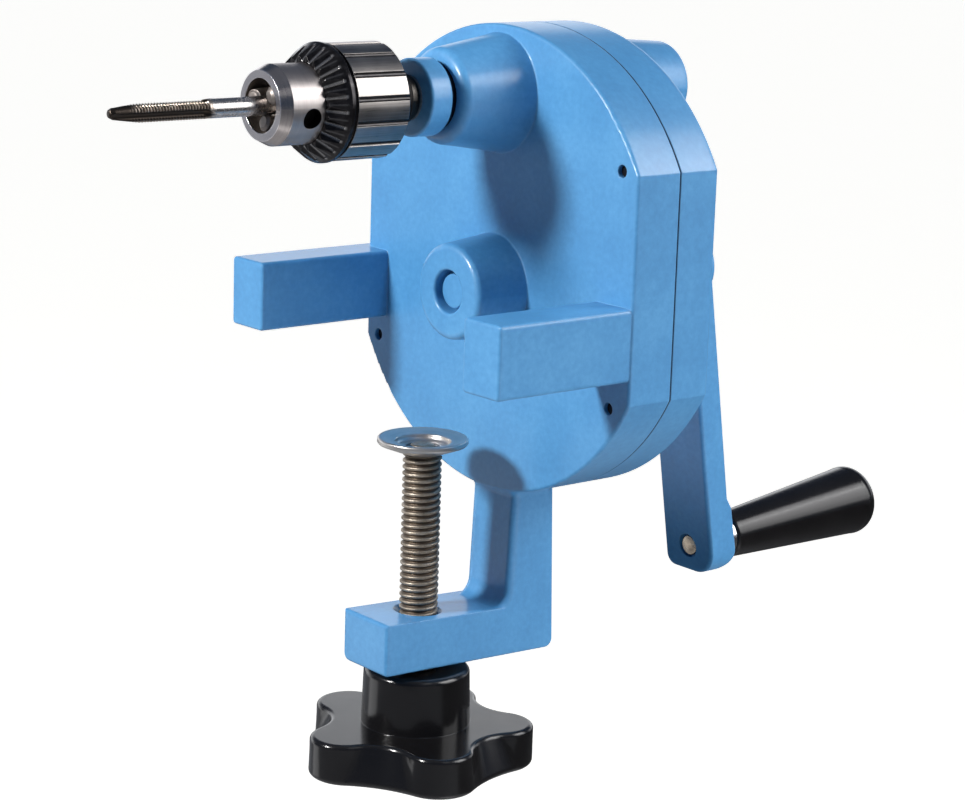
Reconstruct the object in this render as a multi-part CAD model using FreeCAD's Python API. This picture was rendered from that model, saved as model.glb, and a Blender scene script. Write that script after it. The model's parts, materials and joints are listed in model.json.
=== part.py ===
import FreeCAD, Part
import math
import os

V = FreeCAD.Vector
os.makedirs("parts", exist_ok=True)

# ---------------------------------------------------------------- dimensions
# Frame: +X to the right as seen from the chuck side, +Y from the chuck to the
# crank, +Z up.  The origin lies in the plane of the two upper clamp bars'
# undersides, on the front face of the housing, midway between its flats.
R_CASE = 75.2          # housing outline radius
Z_CASE = 27.9          # height of the outline's centre
W_FLAT = 66.4          # half width across the two side flats
Y_SEAM = 17.4          # plane where the two halves meet
Y_REAR = 34.0          # rear face of the rear half
WALL = 5.0             # side wall
FLOOR_F = 4.6          # front wall
FLOOR_R = 4.4          # rear wall

Z_SP = 81.45           # spindle axis
Z_CR = 19.20           # crank axis, 62.25 below
M_GEAR = 1.5
N_GEAR = 63
N_PIN = 20

SP_BOSS_Y = -25.5
SP_BOSS_R0 = 19.0
SP_BOSS_R1 = 15.1
CR_BOSS_Y = -18.5
CR_BOSS_R0 = 17.5
CR_BOSS_R1 = 15.4
CR_MOUTH_R = 6.9        # mouth of the crank bore
PLUG_Y = -13.2          # front of the plug's flange
SP_REAR_Y = 70.2
CR_REAR_Y = 63.0

BAR_H = 22.6
BAR_Y = -51.4
BAR_L = (-72.4, -55.4)
BAR_R = (48.9, 65.9)

COL_W = 11.5           # half width of column and lower arm
COL_YF = 0.6
COL_YR = 20.0
ARM_YF = -48.2
ARM_ZT = -84.4
ARM_ZB = -100.7
Y_SCR = -26.8          # clamp screw axis

SCR_R = 6.30           # half-inch screw, twelve threads to the inch
SCR_PITCH = 25.4 / 12
SCR_DEPTH = 1.15
CUP_R = 14.6
CUP_Z = -27.1
KNOB_HUB_R = 17.4
KNOB_ZT = -103.2
KNOB_ZL = -122.1
KNOB_ZB = -135.5
LOBE_TOP = (11.0, 27.6, 14.0)   # tip radius, tip centre, hollow radius
LOBE_LOW = (13.5, 25.1, 60.0)
LOBE_A0 = 50.3
FLARE_R = 3.4          # blend under the housing at the column's head

ARM_LEAN = math.atan(0.163)
ARM_HW = 11.65
ARM_T = 10.25
ARM_Y60 = 89.8
ARM_PAD = 1.05
PIN_Z = -81.9
PIN_Y = 93.4
HANDLE_TILT = 0.060
HANDLE_L = 69.4

CH_Y0 = -90.1          # chuck nose face
CH_NOSE = 12.2
TAP_TIP = -142.5
CH_SHIFT = -1.0        # the chuck sits this much further forward

made = {}


def save(name, shape):
    shape = shape.removeSplitter() if len(shape.Solids) == 1 else shape
    made[name] = shape
    shape.exportStep("parts/%s.step" % name)


# ------------------------------------------------------------------ helpers
def forward(s):
    s = s.copy()
    s.translate(V(0, CH_SHIFT, 0))
    return s


def cyl(x, y0, y1, z, r):
    a, b = min(y0, y1), max(y0, y1)
    return Part.makeCylinder(r, b - a, V(x, a, z), V(0, 1, 0))


def cylz(x, y, z0, z1, r):
    a, b = min(z0, z1), max(z0, z1)
    return Part.makeCylinder(r, b - a, V(x, y, a), V(0, 0, 1))


def box(x0, x1, y0, y1, z0, z1):
    return Part.makeBox(x1 - x0, y1 - y0, z1 - z0, V(x0, y0, z0))


def mid(e):
    return e.valueAt(0.5 * (e.FirstParameter + e.LastParameter))


def edges_where(shape, test):
    out = []
    for e in shape.Edges:
        pts = [v.Point for v in e.Vertexes]
        try:
            mid = e.valueAt((e.FirstParameter + e.LastParameter) / 2.0)
        except Exception:
            continue
        if test(e, pts, mid):
            out.append(e)
    return out


def fillet(shape, r, test):
    es = edges_where(shape, test)
    if not es:
        return shape
    try:
        out = shape.makeFillet(r, es)
        if out.isValid() and out.Volume > 0 and len(out.Solids) == len(shape.Solids):
            return out
    except Exception:
        pass
    # one edge at a time where the whole set cannot be rounded together
    mids = [mid(e) for e in es]
    left = 0
    for m in mids:
        done = False
        for e in sorted(shape.Edges, key=lambda q: (mid(q) - m).Length)[:1]:
            if (mid(e) - m).Length > 1.5 * r:
                continue
            try:
                out = shape.makeFillet(r, [e])
                if out.isValid() and out.Volume > 0 and len(out.Solids) == len(shape.Solids):
                    shape = out
                    done = True
            except Exception:
                pass
        if not done:
            left += 1
    if left:
        print("fillet skipped", r, left, "of", len(es))
    return shape


def chamfer(shape, c, test):
    es = edges_where(shape, test)
    if not es:
        return shape
    try:
        out = shape.makeChamfer(c, es)
        if out.isValid() and out.Volume > 0:
            return out
    except Exception:
        pass
    print("chamfer skipped", c, len(es))
    return shape


def profile(items):
    """Closed wire from points and arcs in one plane; an arc is (mid, end)."""
    edges = []
    start = items[0]
    cur = start
    for it in items[1:]:
        if isinstance(it, tuple):
            edges.append(Part.Arc(cur, it[0], it[1]).toShape())
            cur = it[1]
        else:
            edges.append(Part.makeLine(cur, it))
            cur = it
    if cur.distanceToPoint(start) > 1e-7:
        edges.append(Part.makeLine(cur, start))
    return Part.Wire(edges)


def turned(pts, x, z):
    """Solid of revolution about an axis along Y through (x, z).
    pts: list of (y, r) or ((ymid, rmid), (y, r)) arcs."""
    items = []
    for p in pts:
        if isinstance(p[0], tuple):
            items.append((V(x + p[0][1], p[0][0], z), V(x + p[1][1], p[1][0], z)))
        else:
            items.append(V(x + p[1], p[0], z))
    f = Part.Face(profile(items))
    s = f.revolve(V(x, 0, z), V(0, 1, 0), 360)
    return s if s.Volume > 0 else s.reversed()


def turned_z(pts, x, y):
    """Solid of revolution about a vertical axis.  pts: (z, r) or arcs."""
    items = []
    for p in pts:
        if isinstance(p[0], tuple):
            items.append((V(x + p[0][1], y, p[0][0]), V(x + p[1][1], y, p[1][0])))
        else:
            items.append(V(x + p[1], y, p[0]))
    f = Part.Face(profile(items))
    s = f.revolve(V(x, y, 0), V(0, 0, 1), 360)
    return s if s.Volume > 0 else s.reversed()


def outline(y0, y1, inset=0.0):
    """The housing's round-with-two-flats outline, extruded along Y."""
    r = R_CASE - inset
    w = W_FLAT - inset
    h = math.sqrt(r * r - w * w)
    a = V(w, y0, Z_CASE + h)
    b = V(-w, y0, Z_CASE + h)
    c = V(-w, y0, Z_CASE - h)
    d = V(w, y0, Z_CASE - h)
    wire = Part.Wire([
        Part.Arc(a, V(0, y0, Z_CASE + r), b).toShape(),
        Part.makeLine(b, c),
        Part.Arc(c, V(0, y0, Z_CASE - r), d).toShape(),
        Part.makeLine(d, a),
    ])
    return Part.Face(wire).extrude(V(0, y1 - y0, 0))


def fuse_all(shapes):
    s = shapes[0]
    return s.fuse(shapes[1:]) if len(shapes) > 1 else s


def gear(n, m, y0, y1, x, z, phase, backlash, bore):
    """Spur gear with involute flanks, axis along Y.  phase is the angle of
    one tooth's centre, counted from +X towards +Z."""
    rp = m * n / 2.0
    rb = rp * math.cos(math.radians(20))
    ra = rp + m
    rf = rp - 1.25 * m
    s = math.pi * m / 2 - backlash / 2.0
    inv20 = math.tan(math.radians(20)) - math.radians(20)
    half_p = s / (2 * rp)

    def half(r):
        if r <= rb:
            return half_p + inv20
        al = math.acos(rb / r)
        return half_p + inv20 - (math.tan(al) - al)

    r0 = max(rb, rf)
    rs = [r0 + (ra - r0) * k / 4.0 for k in range(5)]
    edges = []

    def pt(r, a):
        return V(x + r * math.cos(a), y0, z + r * math.sin(a))

    first = None
    prev = None
    for i in range(n):
        c = math.radians(phase) + 2 * math.pi * i / n
        left = [pt(r, c - half(r)) for r in rs]
        right = [pt(r, c + half(r)) for r in reversed(rs)]
        root_l = pt(rf, c - half(r0))
        root_r = pt(rf, c + half(r0))
        has_root = r0 - rf > 1e-4
        begin = root_l if has_root else left[0]
        end = root_r if has_root else right[-1]
        if prev is not None:
            pa, pe = prev
            midr = pt(rf, (pa + c - half(r0)) / 2.0)
            edges.append(Part.Arc(pe, midr, begin).toShape())
        else:
            first = begin
        if has_root:
            edges.append(Part.makeLine(root_l, left[0]))
        b = Part.BSplineCurve()
        b.interpolate(left)
        edges.append(b.toShape())
        edges.append(Part.Arc(left[-1], pt(ra, c), right[0]).toShape())
        b = Part.BSplineCurve()
        b.interpolate(right)
        edges.append(b.toShape())
        if has_root:
            edges.append(Part.makeLine(right[-1], root_r))
        prev = (c + half(r0), end)
    pa, pe = prev
    a_first = math.radians(phase) - half(r0) + 2 * math.pi
    edges.append(Part.Arc(pe, pt(rf, (pa + a_first) / 2.0), first).toShape())
    face = Part.Face(Part.Wire(edges))
    g = face.extrude(V(0, y1 - y0, 0))
    return g.cut(cyl(x, y0 - 1, y1 + 1, z, bore)) if bore else g


# ------------------------------------------------------------ front housing
def front_housing():
    body = outline(0.0, Y_SEAM)
    body = fillet(body, 1.0, lambda e, p, m: all(abs(q.y) < 1e-6 for q in p) and abs(m.y) < 1e-6)
    body = chamfer(body, 0.35, lambda e, p, m: all(abs(q.y - Y_SEAM) < 1e-6 for q in p) and abs(m.y - Y_SEAM) < 1e-6)

    # cavity with local room round the pinion
    cav = outline(FLOOR_F, Y_SEAM + 1, WALL)
    cav = fillet(cav, 3.0, lambda e, p, m: abs(p[0].x) > 50 and abs(p[0].x - p[-1].x) < 1e-6 and abs(p[0].y - p[-1].y) > 5)
    cav = cav.fuse(cyl(0, FLOOR_F, Y_SEAM + 1, Z_SP, 17.4))
    body = body.cut(cav)

    # screw bosses inside, at the four corners
    for x, z in CASE_HOLES:
        body = body.fuse(cyl(x, 1.0, Y_SEAM, z, 5.2).common(outline(0.5, Y_SEAM, 0.6)))

    # spindle boss: drafted, with a tight root and a rounded rim
    fr = 0.2
    sb = turned([
        (2.0, 0.0), (2.0, SP_BOSS_R0 + fr), (0.0, SP_BOSS_R0 + fr),
        ((-fr * 0.293, SP_BOSS_R0 + fr * 0.293), (-fr, SP_BOSS_R0 - 0.1)),
        (SP_BOSS_Y + 3.0, SP_BOSS_R1 + 0.15),
        ((SP_BOSS_Y + 0.85, SP_BOSS_R1 - 0.75), (SP_BOSS_Y, SP_BOSS_R1 - 2.9)),
        (SP_BOSS_Y, 0.0)], 0, Z_SP)
    fr = 0.2
    cb = turned([
        (2.0, 0.0), (2.0, CR_BOSS_R0 + fr), (0.0, CR_BOSS_R0 + fr),
        ((-fr * 0.293, CR_BOSS_R0 + fr * 0.293), (-fr, CR_BOSS_R0 - 0.1)),
        (CR_BOSS_Y + 2.0, CR_BOSS_R1 + 0.1),
        ((CR_BOSS_Y + 0.58, CR_BOSS_R1 - 0.5), (CR_BOSS_Y, CR_BOSS_R1 - 2.0)),
        (CR_BOSS_Y, 0.0)], 0, Z_CR)
    body = body.fuse([sb, cb])
    body = body.common(outline(-60, Y_SEAM).fuse(box(-30, 30, -40, -0.01, -40, 110)))

    # inner bosses that carry the bushes
    body = body.fuse([cyl(0, 1.0, 7.6, Z_SP, 13.0), cyl(0, 1.0, 7.6, Z_CR, 13.5)])

    # upper clamp bars
    def bar(x0, x1, wrap):
        b = box(x0, x1, BAR_Y, 2.5, 0.0, BAR_H)
        b = fillet(b, 1.3, lambda e, p, m: abs(p[0].y - p[-1].y) > 20)
        b = fillet(b, 0.9, lambda e, p, m: abs(m.y - BAR_Y) < 1.0 and all(abs(q.y - BAR_Y) < 1e-4 for q in p))
        if wrap:
            w = box(x0, -W_FLAT + 3.0, 0.0, 4.4, 0.0, BAR_H)
            w = fillet(w, 1.3, lambda e, p, m: abs(p[0].y - p[-1].y) > 3 and m.x < x0 + 0.1)
            b = b.fuse(w)
        return b

    body = body.fuse([bar(BAR_L[0], BAR_L[1], True), bar(BAR_R[0], BAR_R[1], False)])

    # column and lower arm, one C-shaped casting with the front half; both
    # grow a little heavier towards the heel
    zt = Z_CASE - R_CASE
    a0, a1 = (ARM_YF, ARM_ZT + 1.0), (-3.6, ARM_ZT - 1.1)
    c0, c1 = (1.5, ARM_ZT + 4.2), (3.0, -45.0)
    side = profile([
        V(-COL_W, c1[0], c1[1]),
        V(-COL_W, c0[0], c0[1]),
        (V(-COL_W, -0.1, ARM_ZT + 0.5), V(-COL_W, a1[0], a1[1])),
        V(-COL_W, a0[0], a0[1]),
        V(-COL_W, ARM_YF, ARM_ZB + 0.2),
        V(-COL_W, 18.4, ARM_ZB - 2.0),
        (V(-COL_W, 20.6, ARM_ZB - 1.2), V(-COL_W, 21.5, ARM_ZB + 1.0)),
        V(-COL_W, 19.3, zt - 0.15),
        V(-COL_W, Y_SEAM, zt - 0.15),
        V(-COL_W, Y_SEAM, zt + 6.0),
        V(-COL_W, c1[0], zt + 6.0)])
    clamp = Part.Face(side).extrude(V(2 * COL_W, 0, 0))
    def front_edge(side_x, e, p, m):
        return (abs(m.x - side_x) < 1e-3 and abs(p[0].z - p[-1].z) > 20 and max(q.y for q in p) < 3.1)

    def heel_chain(side_x, e, p, m):
        return abs(m.x - side_x) < 1e-3 and (m.z < ARM_ZB + 0.5 or (m.y > 19 and m.z < zt - 1))
    clamp = fillet(clamp, 2.6, lambda e, p, m: heel_chain(-COL_W, e, p, m))
    clamp = fillet(clamp, 1.0, lambda e, p, m: heel_chain(COL_W, e, p, m))
    clamp = fillet(clamp, 1.1, lambda e, p, m: abs(m.y - ARM_YF) < 1e-4 and all(abs(q.y - ARM_YF) < 1e-4 for q in p))
    clamp = fillet(clamp, 3.8, lambda e, p, m: front_edge(-COL_W, e, p, m))
    clamp = fillet(clamp, 2.2, lambda e, p, m: front_edge(COL_W, e, p, m))
    body = body.fuse(clamp)

    body = body.fuse(head_flare())

    # bores
    body = body.cut(cyl(0, SP_BOSS_Y - 1, 12, Z_SP, 9.5))
    body = body.cut(cyl(0, SP_BOSS_Y - 1, SP_BOSS_Y + 1.6, Z_SP, 10.45))
    body = body.cut(cyl(0, PLUG_Y - 0.05, 12, Z_CR, 8.0))
    body = body.cut(cyl(0, CR_BOSS_Y - 1, PLUG_Y, Z_CR, CR_MOUTH_R))
    mr = 0.9
    body = body.cut(turned([
        (CR_BOSS_Y - 0.5, 0.0), (CR_BOSS_Y - 0.5, CR_MOUTH_R + mr), (CR_BOSS_Y, CR_MOUTH_R + mr),
        ((CR_BOSS_Y + mr * 0.293, CR_MOUTH_R + mr * 0.293), (CR_BOSS_Y + mr, CR_MOUTH_R)), (CR_BOSS_Y + mr, 0.0)], 0, Z_CR))
    for x, z in CASE_HOLES:
        body = body.cut(cyl(x, -1, Y_SEAM + 1, z, 2.0))
    for x, z in DOWELS:
        body = body.fuse(cyl(x, 3.0, Y_SEAM, z, 4.6).common(outline(0.5, Y_SEAM, 0.6)))
        body = body.cut(cyl(x, Y_SEAM - 8.0, Y_SEAM + 1, z, 2.5))
    # screw bore in the lower arm: plain to the crests, with a countersink above
    body = body.cut(cylz(0, Y_SCR, ARM_ZB - 3, ARM_ZT + 2, SCR_R + 0.05))
    body = body.cut(Part.makeCone(SCR_R + 0.05, 8.4, 2.1, V(0, Y_SCR, ARM_ZT - 1.6), V(0, 0, 1)))
    body = body.cut(Part.makeCone(7.6, SCR_R + 0.05, 1.3, V(0, Y_SCR, ARM_ZB - 0.21), V(0, 0, 1)))
    return body


def head_flare():
    """Concave blend from the column into the round underside of the housing,
    round the column's two sides and its front."""
    z_u = Z_CASE - R_CASE + 1.07

    def section(d, z, z_face=None):
        zf = z if z_face is None else z_face
        yf = 1.5 + (zf - ARM_ZT - 4.2) * 1.5 / (-45.0 - ARM_ZT - 4.2) - d
        x0, x1, y1 = -COL_W - d, COL_W + d, Y_SEAM
        rl, rr = 3.8 + d, 2.2 + d
        kl, kr = rl * (1 - math.sqrt(0.5)), rr * (1 - math.sqrt(0.5))
        return profile([
            V(x0, y1, z), V(x0, yf + rl, z), (V(x0 + kl, yf + kl, z), V(x0 + rl, yf, z)),
            V(x1 - rr, yf, z), (V(x1 - kr, yf + kr, z), V(x1, yf + rr, z)), V(x1, y1, z)])

    rows = []
    for a in (0, 13, 26, 39, 52, 65, 78):
        s = math.radians(a)
        d = FLARE_R * (1 - math.cos(s)) if a else -0.02
        rows.append((d, z_u - FLARE_R + FLARE_R * math.sin(s)))
    wires = [section(d, z) for d, z in rows]
    d, z = rows[-1]
    cap = Part.makeLoft([section(d, z), section(d, z + 1.4, z)], True, True)
    for ruled in (False, True):
        s = Part.makeLoft(wires, True, ruled)
        if s.isValid() and s.Volume > 0:
            f = s.fuse(cap)
            if f.isValid():
                return f
    return cap


CASE_HOLES = [(-59.2, 63.8), (59.1, 63.8), (-59.8, -6.8), (57.3, -9.8)]
DOWELS = [(-57.0, 27.9), (57.0, 27.9)]


def rear_housing():
    body = outline(Y_SEAM, Y_REAR)
    body = fillet(body, 2.4, lambda e, p, m: all(abs(q.y - Y_REAR) < 1e-6 for q in p) and abs(m.y - Y_REAR) < 1e-6)
    body = chamfer(body, 0.35, lambda e, p, m: all(abs(q.y - Y_SEAM) < 1e-6 for q in p) and abs(m.y - Y_SEAM) < 1e-6)
    cav = outline(Y_SEAM - 1, Y_REAR - FLOOR_R, WALL)
    cav = fillet(cav, 3.0, lambda e, p, m: abs(p[0].x) > 50 and abs(p[0].x - p[-1].x) < 1e-6 and abs(p[0].y - p[-1].y) > 5)
    cav = cav.fuse(cyl(0, Y_SEAM - 1, Y_REAR - FLOOR_R, Z_SP, 17.4))
    body = body.cut(cav)
    for x, z in CASE_HOLES:
        body = body.fuse(cyl(x, Y_SEAM, Y_REAR - 1, z, 5.2).common(outline(Y_SEAM, Y_REAR - 1, 0.6)))
    fr = 3.0
    h = SP_REAR_Y
    sb = turned([
        (Y_REAR - 2.0, 0.0), (Y_REAR - 2.0, 16.6 + fr), (Y_REAR, 16.6 + fr),
        ((Y_REAR + fr * 0.293, 16.6 + fr * 0.293), (Y_REAR + fr, 16.5)),
        (h - 2.8, 14.3),
        ((h - 0.8, 13.5), (h, 11.4)),
        (h, 0.0)], 0, Z_SP)
    fr = 3.0
    h = CR_REAR_Y
    cb = turned([
        (Y_REAR - 2.0, 0.0), (Y_REAR - 2.0, 18.2 + fr), (Y_REAR, 18.2 + fr),
        ((Y_REAR + fr * 0.293, 18.2 + fr * 0.293), (Y_REAR + fr, 18.1)),
        (h - 2.5, 15.6),
        ((h - 0.73, 14.87), (h, 13.1)),
        (h, 0.0)], 0, Z_CR)
    body = body.fuse([sb, cb])
    body = body.common(outline(Y_SEAM, Y_REAR + 60).fuse(box(-30, 30, Y_REAR + 0.01, 90, -40, 110)))
    body = body.fuse([cyl(0, Y_REAR - 8.0, Y_REAR - 1, Z_SP, 13.0), cyl(0, Y_REAR - 7.4, Y_REAR - 1, Z_CR, 13.5)])
    body = body.cut(cyl(0, Y_REAR - 12, SP_REAR_Y + 1, Z_SP, 8.5))
    body = body.cut(cyl(0, SP_REAR_Y - 5.6, SP_REAR_Y + 1, Z_SP, 9.9))
    body = body.cut(cyl(0, Y_REAR - 12, CR_REAR_Y + 1, Z_CR, 8.5))
    for x, z in CASE_HOLES:
        body = body.cut(cyl(x, Y_SEAM - 1, Y_REAR + 1, z, 2.25))
        body = body.cut(cyl(x, Y_REAR - 4.6, Y_REAR + 1, z, 3.9))
    for x, z in DOWELS:
        body = body.fuse(cyl(x, Y_SEAM, Y_REAR - 1.5, z, 4.6).common(outline(Y_SEAM, Y_REAR - 1, 0.6)))
        body = body.cut(cyl(x, Y_SEAM - 1, Y_SEAM + 8.0, z, 2.5))
    return body


def case_screws():
    out = []
    for x, z in CASE_HOLES:
        y_h = Y_REAR - 4.6
        s = cyl(x, 1.6, y_h + 0.5, z, 1.98)
        h = cyl(x, y_h, y_h + 4.0, z, 3.5)
        h = chamfer(h, 0.35, lambda e, p, m: abs(m.y - (y_h + 4.0)) < 1e-3 and all(abs(q.y - y_h - 4.0) < 1e-3 for q in p))
        hexa = Part.Wire([Part.makeLine(V(x + 1.73 * math.cos(math.radians(60 * i)), y_h + 2.0, z + 1.73 * math.sin(math.radians(60 * i))),
                                        V(x + 1.73 * math.cos(math.radians(60 * i + 60)), y_h + 2.0, z + 1.73 * math.sin(math.radians(60 * i + 60))))
                          for i in range(6)])
        h = h.cut(Part.Face(hexa).extrude(V(0, 3, 0)))
        out.append(s.fuse(h).removeSplitter())
    return Part.makeCompound(out)


def dowels():
    return Part.makeCompound([cyl(x, Y_SEAM - 7.6, Y_SEAM + 7.6, z, 2.48) for x, z in DOWELS])


# ------------------------------------------------------------------ bushes
def bush(y0, y1, z, ro, ri, flange=None):
    b = cyl(0, y0, y1, z, ro)
    if flange:
        fy0, fy1, fr = flange
        b = b.fuse(cyl(0, fy0, fy1, z, fr))
    return b.cut(cyl(0, y0 - 5, y1 + 5, z, ri))


# ----------------------------------------------------------------- spindle
SP_R = 7.0
SP_NOSE_Y = -59.0


def spindle():
    # nose that screws into the chuck, shoulder behind it, long journal
    s = turned([
        (SP_NOSE_Y, 0.0), (SP_NOSE_Y, 4.3), (SP_NOSE_Y + 0.6, 4.75), (-41.2, 4.75), (-41.2, 7.8),
        (-38.4, 7.8), (-38.4, SP_R), (66.5, SP_R), (66.5, 6.3), (67.7, 6.3), (67.7, SP_R),
        (68.8, SP_R), (69.3, 6.5), (69.3, 0.0)], 0, Z_SP)
    # keyway under the pinion
    s = s.cut(box(-2.0, 2.0, 10.9, 22.1, Z_SP + SP_R - 2.0, Z_SP + SP_R + 2))
    # flat under the collar's grub screw
    s = s.cut(box(-3, 3, -34.2, -30.2, Z_SP - SP_R - 1, Z_SP - SP_R + 0.5))
    return s


def spindle_collar():
    c = turned([
        (-36.1, SP_R + 0.0), (-36.1, 11.3), ((-35.85, 11.9), (-35.3, 12.15)),
        (-28.8, 12.15), ((-28.2, 11.9), (-28.0, 11.3)), (-28.0, SP_R + 0.0)], 0, Z_SP)
    c = c.cut(cylz(0, -32.1, Z_SP - 20, Z_SP, 2.0))
    return c


def collar_screw():
    g = cylz(0, -32.1, Z_SP - 11.2, Z_SP - SP_R + 0.48, 1.98)
    hexa = Part.Wire([Part.makeLine(V(0.98 * math.cos(math.radians(60 * i)), -32.1 + 0.98 * math.sin(math.radians(60 * i)), Z_SP - 11.3),
                                    V(0.98 * math.cos(math.radians(60 * i + 60)), -32.1 + 0.98 * math.sin(math.radians(60 * i + 60)), Z_SP - 11.3))
                      for i in range(6)])
    return g.cut(Part.Face(hexa).extrude(V(0, 0, 1.9)))


def ring_clip(y0, y1, z, ri, ro, gap_deg=26, lug=True):
    """External circlip seen along Y: open ring with two eyed lugs."""
    r = cyl(0, y0, y1, z, ro).cut(cyl(0, y0 - 1, y1 + 1, z, ri))
    a = math.radians(gap_deg)
    w = Part.Face(profile([V(0, y0 - 1, z), V(-3 * ro * math.sin(a), y0 - 1, z - 3 * ro * math.cos(a)),
                           V(3 * ro * math.sin(a), y0 - 1, z - 3 * ro * math.cos(a))])).extrude(V(0, y1 - y0 + 2, 0))
    r = r.cut(w)
    if lug:
        rm = (ri + ro) / 2 + 0.35
        for s in (-1, 1):
            aa = math.radians(gap_deg + 9)
            cx, cz = s * rm * math.sin(aa), z - rm * math.cos(aa)
            l = cyl(cx, y0, y1, cz, 1.35).cut(cyl(cx, y0 - 1, y1 + 1, cz, 0.55))
            l = l.cut(cyl(0, y0 - 1, y1 + 1, z, ri))
            r = r.fuse(l)
            r = r.cut(cyl(cx, y0 - 1, y1 + 1, cz, 0.55))
    return r.removeSplitter()


def key(y0, y1, z0, z1, w=4.0):
    k = box(-w / 2 + 0.02, w / 2 - 0.02, y0, y1, z0, z1)
    return k


# ------------------------------------------------------------------- chuck
JAW_A = math.radians(14.0)
JAW_RHO = 4.80         # jaw axis radius at the nose face
JAW_R = 2.6
JAW_L = 25.0
JAW_ANG = [39.3, 159.3, 279.3]
KEY_ANG = [-15.7, 104.3, 224.3]
GRIP_R = 2.92


def jaw_axis(deg):
    a = math.radians(deg)
    u = V(math.cos(a), 0, math.sin(a))
    d = V(math.sin(JAW_A) * u.x, math.cos(JAW_A), math.sin(JAW_A) * u.z)
    return u, d


def jaw_cyl(deg, s0, s1, r, extra=0.0):
    u, d = jaw_axis(deg)
    p0 = V(u.x * JAW_RHO, CH_Y0 + 0.6, Z_SP + u.z * JAW_RHO)
    base = p0 + d * s0
    return Part.makeCylinder(r, s1 - s0, base, d)


def chuck_body():
    b = turned([
        (CH_Y0, 0.0), (CH_Y0, 10.5), (CH_Y0 + 3.6, CH_NOSE), (-72.2, CH_NOSE), (-72.2, 9.3), (-62.4, 9.3),
        (-62.4, 11.6), (-57.0, 11.6), (-47.6, 11.0), (-47.0, 11.0), (-46.2, 9.9), (-41.0, 9.9), (-40.2, 9.2), (-40.2, 0.0)], 0, Z_SP)
    # open nose and the way through to the spindle thread
    b = b.cut(turned([(CH_Y0 - 1, 0), (CH_Y0 - 1, 8.2), (CH_Y0 + 0.8, 8.2), (-84.0, 8.0), (-80.4, 4.6), (-71.6, 4.6),
                      (-71.6, 0)], 0, Z_SP))
    b = b.cut(cyl(0, -72.0, -57.0, Z_SP, 4.0))
    b = b.cut(cyl(0, -58.4, -39.0, Z_SP, 4.75))
    for d in JAW_ANG:
        b = b.cut(jaw_cyl(d, -3.0, 34.0, JAW_R + 0.06))
    for d in KEY_ANG:
        a = math.radians(d)
        u = V(math.cos(a), 0, math.sin(a))
        c = Part.makeCylinder(3.2, 5.2, V(u.x * 8.6, -79.4, Z_SP + u.z * 8.6), u)
        b = b.cut(c)
    return b


def chuck_jaw(deg):
    u, d = jaw_axis(deg)
    j = jaw_cyl(deg, 0.7, JAW_L, JAW_R)
    tip = V(u.x * JAW_RHO, CH_Y0 + 0.6, Z_SP + u.z * JAW_RHO) + d * -0.05
    j = j.fuse(Part.makeCone(1.75, JAW_R, 0.95, tip, d)).removeSplitter()
    # gripping faces: two planes meeting in a ridge that touches the shank
    a = math.radians(deg)
    far = 12.0
    w = []
    for sgn in (-1, 1):
        n = a + sgn * math.radians(60)
        # plane through the point at GRIP_R, facing inwards
        t = V(math.cos(a + sgn * math.radians(30)), 0, math.sin(a + sgn * math.radians(30)))
        w.append(t)
    # half-space cutter: everything nearer the axis than the grip radius
    cut = cyl(0, CH_Y0 - 2, CH_Y0 + 40, Z_SP, GRIP_R)
    j = j.cut(cut)
    # neighbours' clearance: keep each jaw inside its 120 degree sector
    for sgn in (-1, 1):
        e = a + sgn * math.radians(60)
        ex = V(math.cos(e), 0, math.sin(e))
        nrm = V(-math.sin(e), 0, math.cos(e)) * sgn
        p = V(0, CH_Y0 - 5, Z_SP) - nrm * 0.12
        q = [p, p + ex * 40, p + ex * 40 + nrm * 40, p - ex * 40 + nrm * 40, p - ex * 40]
        w2 = Part.Face(profile(q)).extrude(V(0, 60, 0))
        j = j.cut(w2)
    return j


RING_Y0 = -75.2        # front of the tooth ring
RING_Y1 = -69.9        # end of its cone
N_RING = 23


def chuck_sleeve():
    s = turned([
        (RING_Y0, CH_NOSE + 0.05), (RING_Y0, 14.3), (RING_Y1, 18.0), (RING_Y1 + 0.3, 18.15), (-68.5, 18.15), (-68.4, 17.0),
        (-67.1, 17.0), (-67.0, 17.75), (-48.2, 17.75), (-47.4, 17.0), (-47.4, 11.30), (-50.0, 11.65), (-50.0, 15.3), (-62.9, 15.3), (-62.9, 14.9), (-72.0, 14.9),
        (-72.0, CH_NOSE + 0.05)], 0, Z_SP)
    # bevel teeth for the key: straight V grooves that run out at the heel
    y0, r0 = RING_Y0 - 0.2, 12.15
    y1, r1 = RING_Y1 - 0.7, 16.67
    for i in range(N_RING):
        a = math.radians(11.6 + 360.0 * i / N_RING)
        c, sn = math.cos(a), math.sin(a)
        t = V(-sn, 0, c)

        def P(y, r):
            return V(r * c, y, Z_SP + r * sn)
        run = (P(y1, r1) - P(y0, r0)).normalize()
        lift = V(c * 0.820, -0.573, sn * 0.820)
        lift = (lift - run * lift.dot(run)).normalize()
        q = P(y0, r0) - run * 1.2
        h = 3.4
        tri = profile([q, q + lift * h + t * (h * 1.3), q + lift * h - t * (h * 1.3)])
        s = s.cut(Part.Face(tri).extrude(run * ((P(y1, r1) - P(y0, r0)).Length + 1.2)))
    # fifteen narrow flutes along the grip
    for i in range(15):
        a = math.radians(-16.0 + 24.0 * i)
        c, sn = math.cos(a), math.sin(a)
        p = V(17.9 * c, -66.9, Z_SP + 17.9 * sn)
        s = s.cut(Part.makeCylinder(0.92, 25, p, V(0, 1, 0)))
    return s


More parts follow.
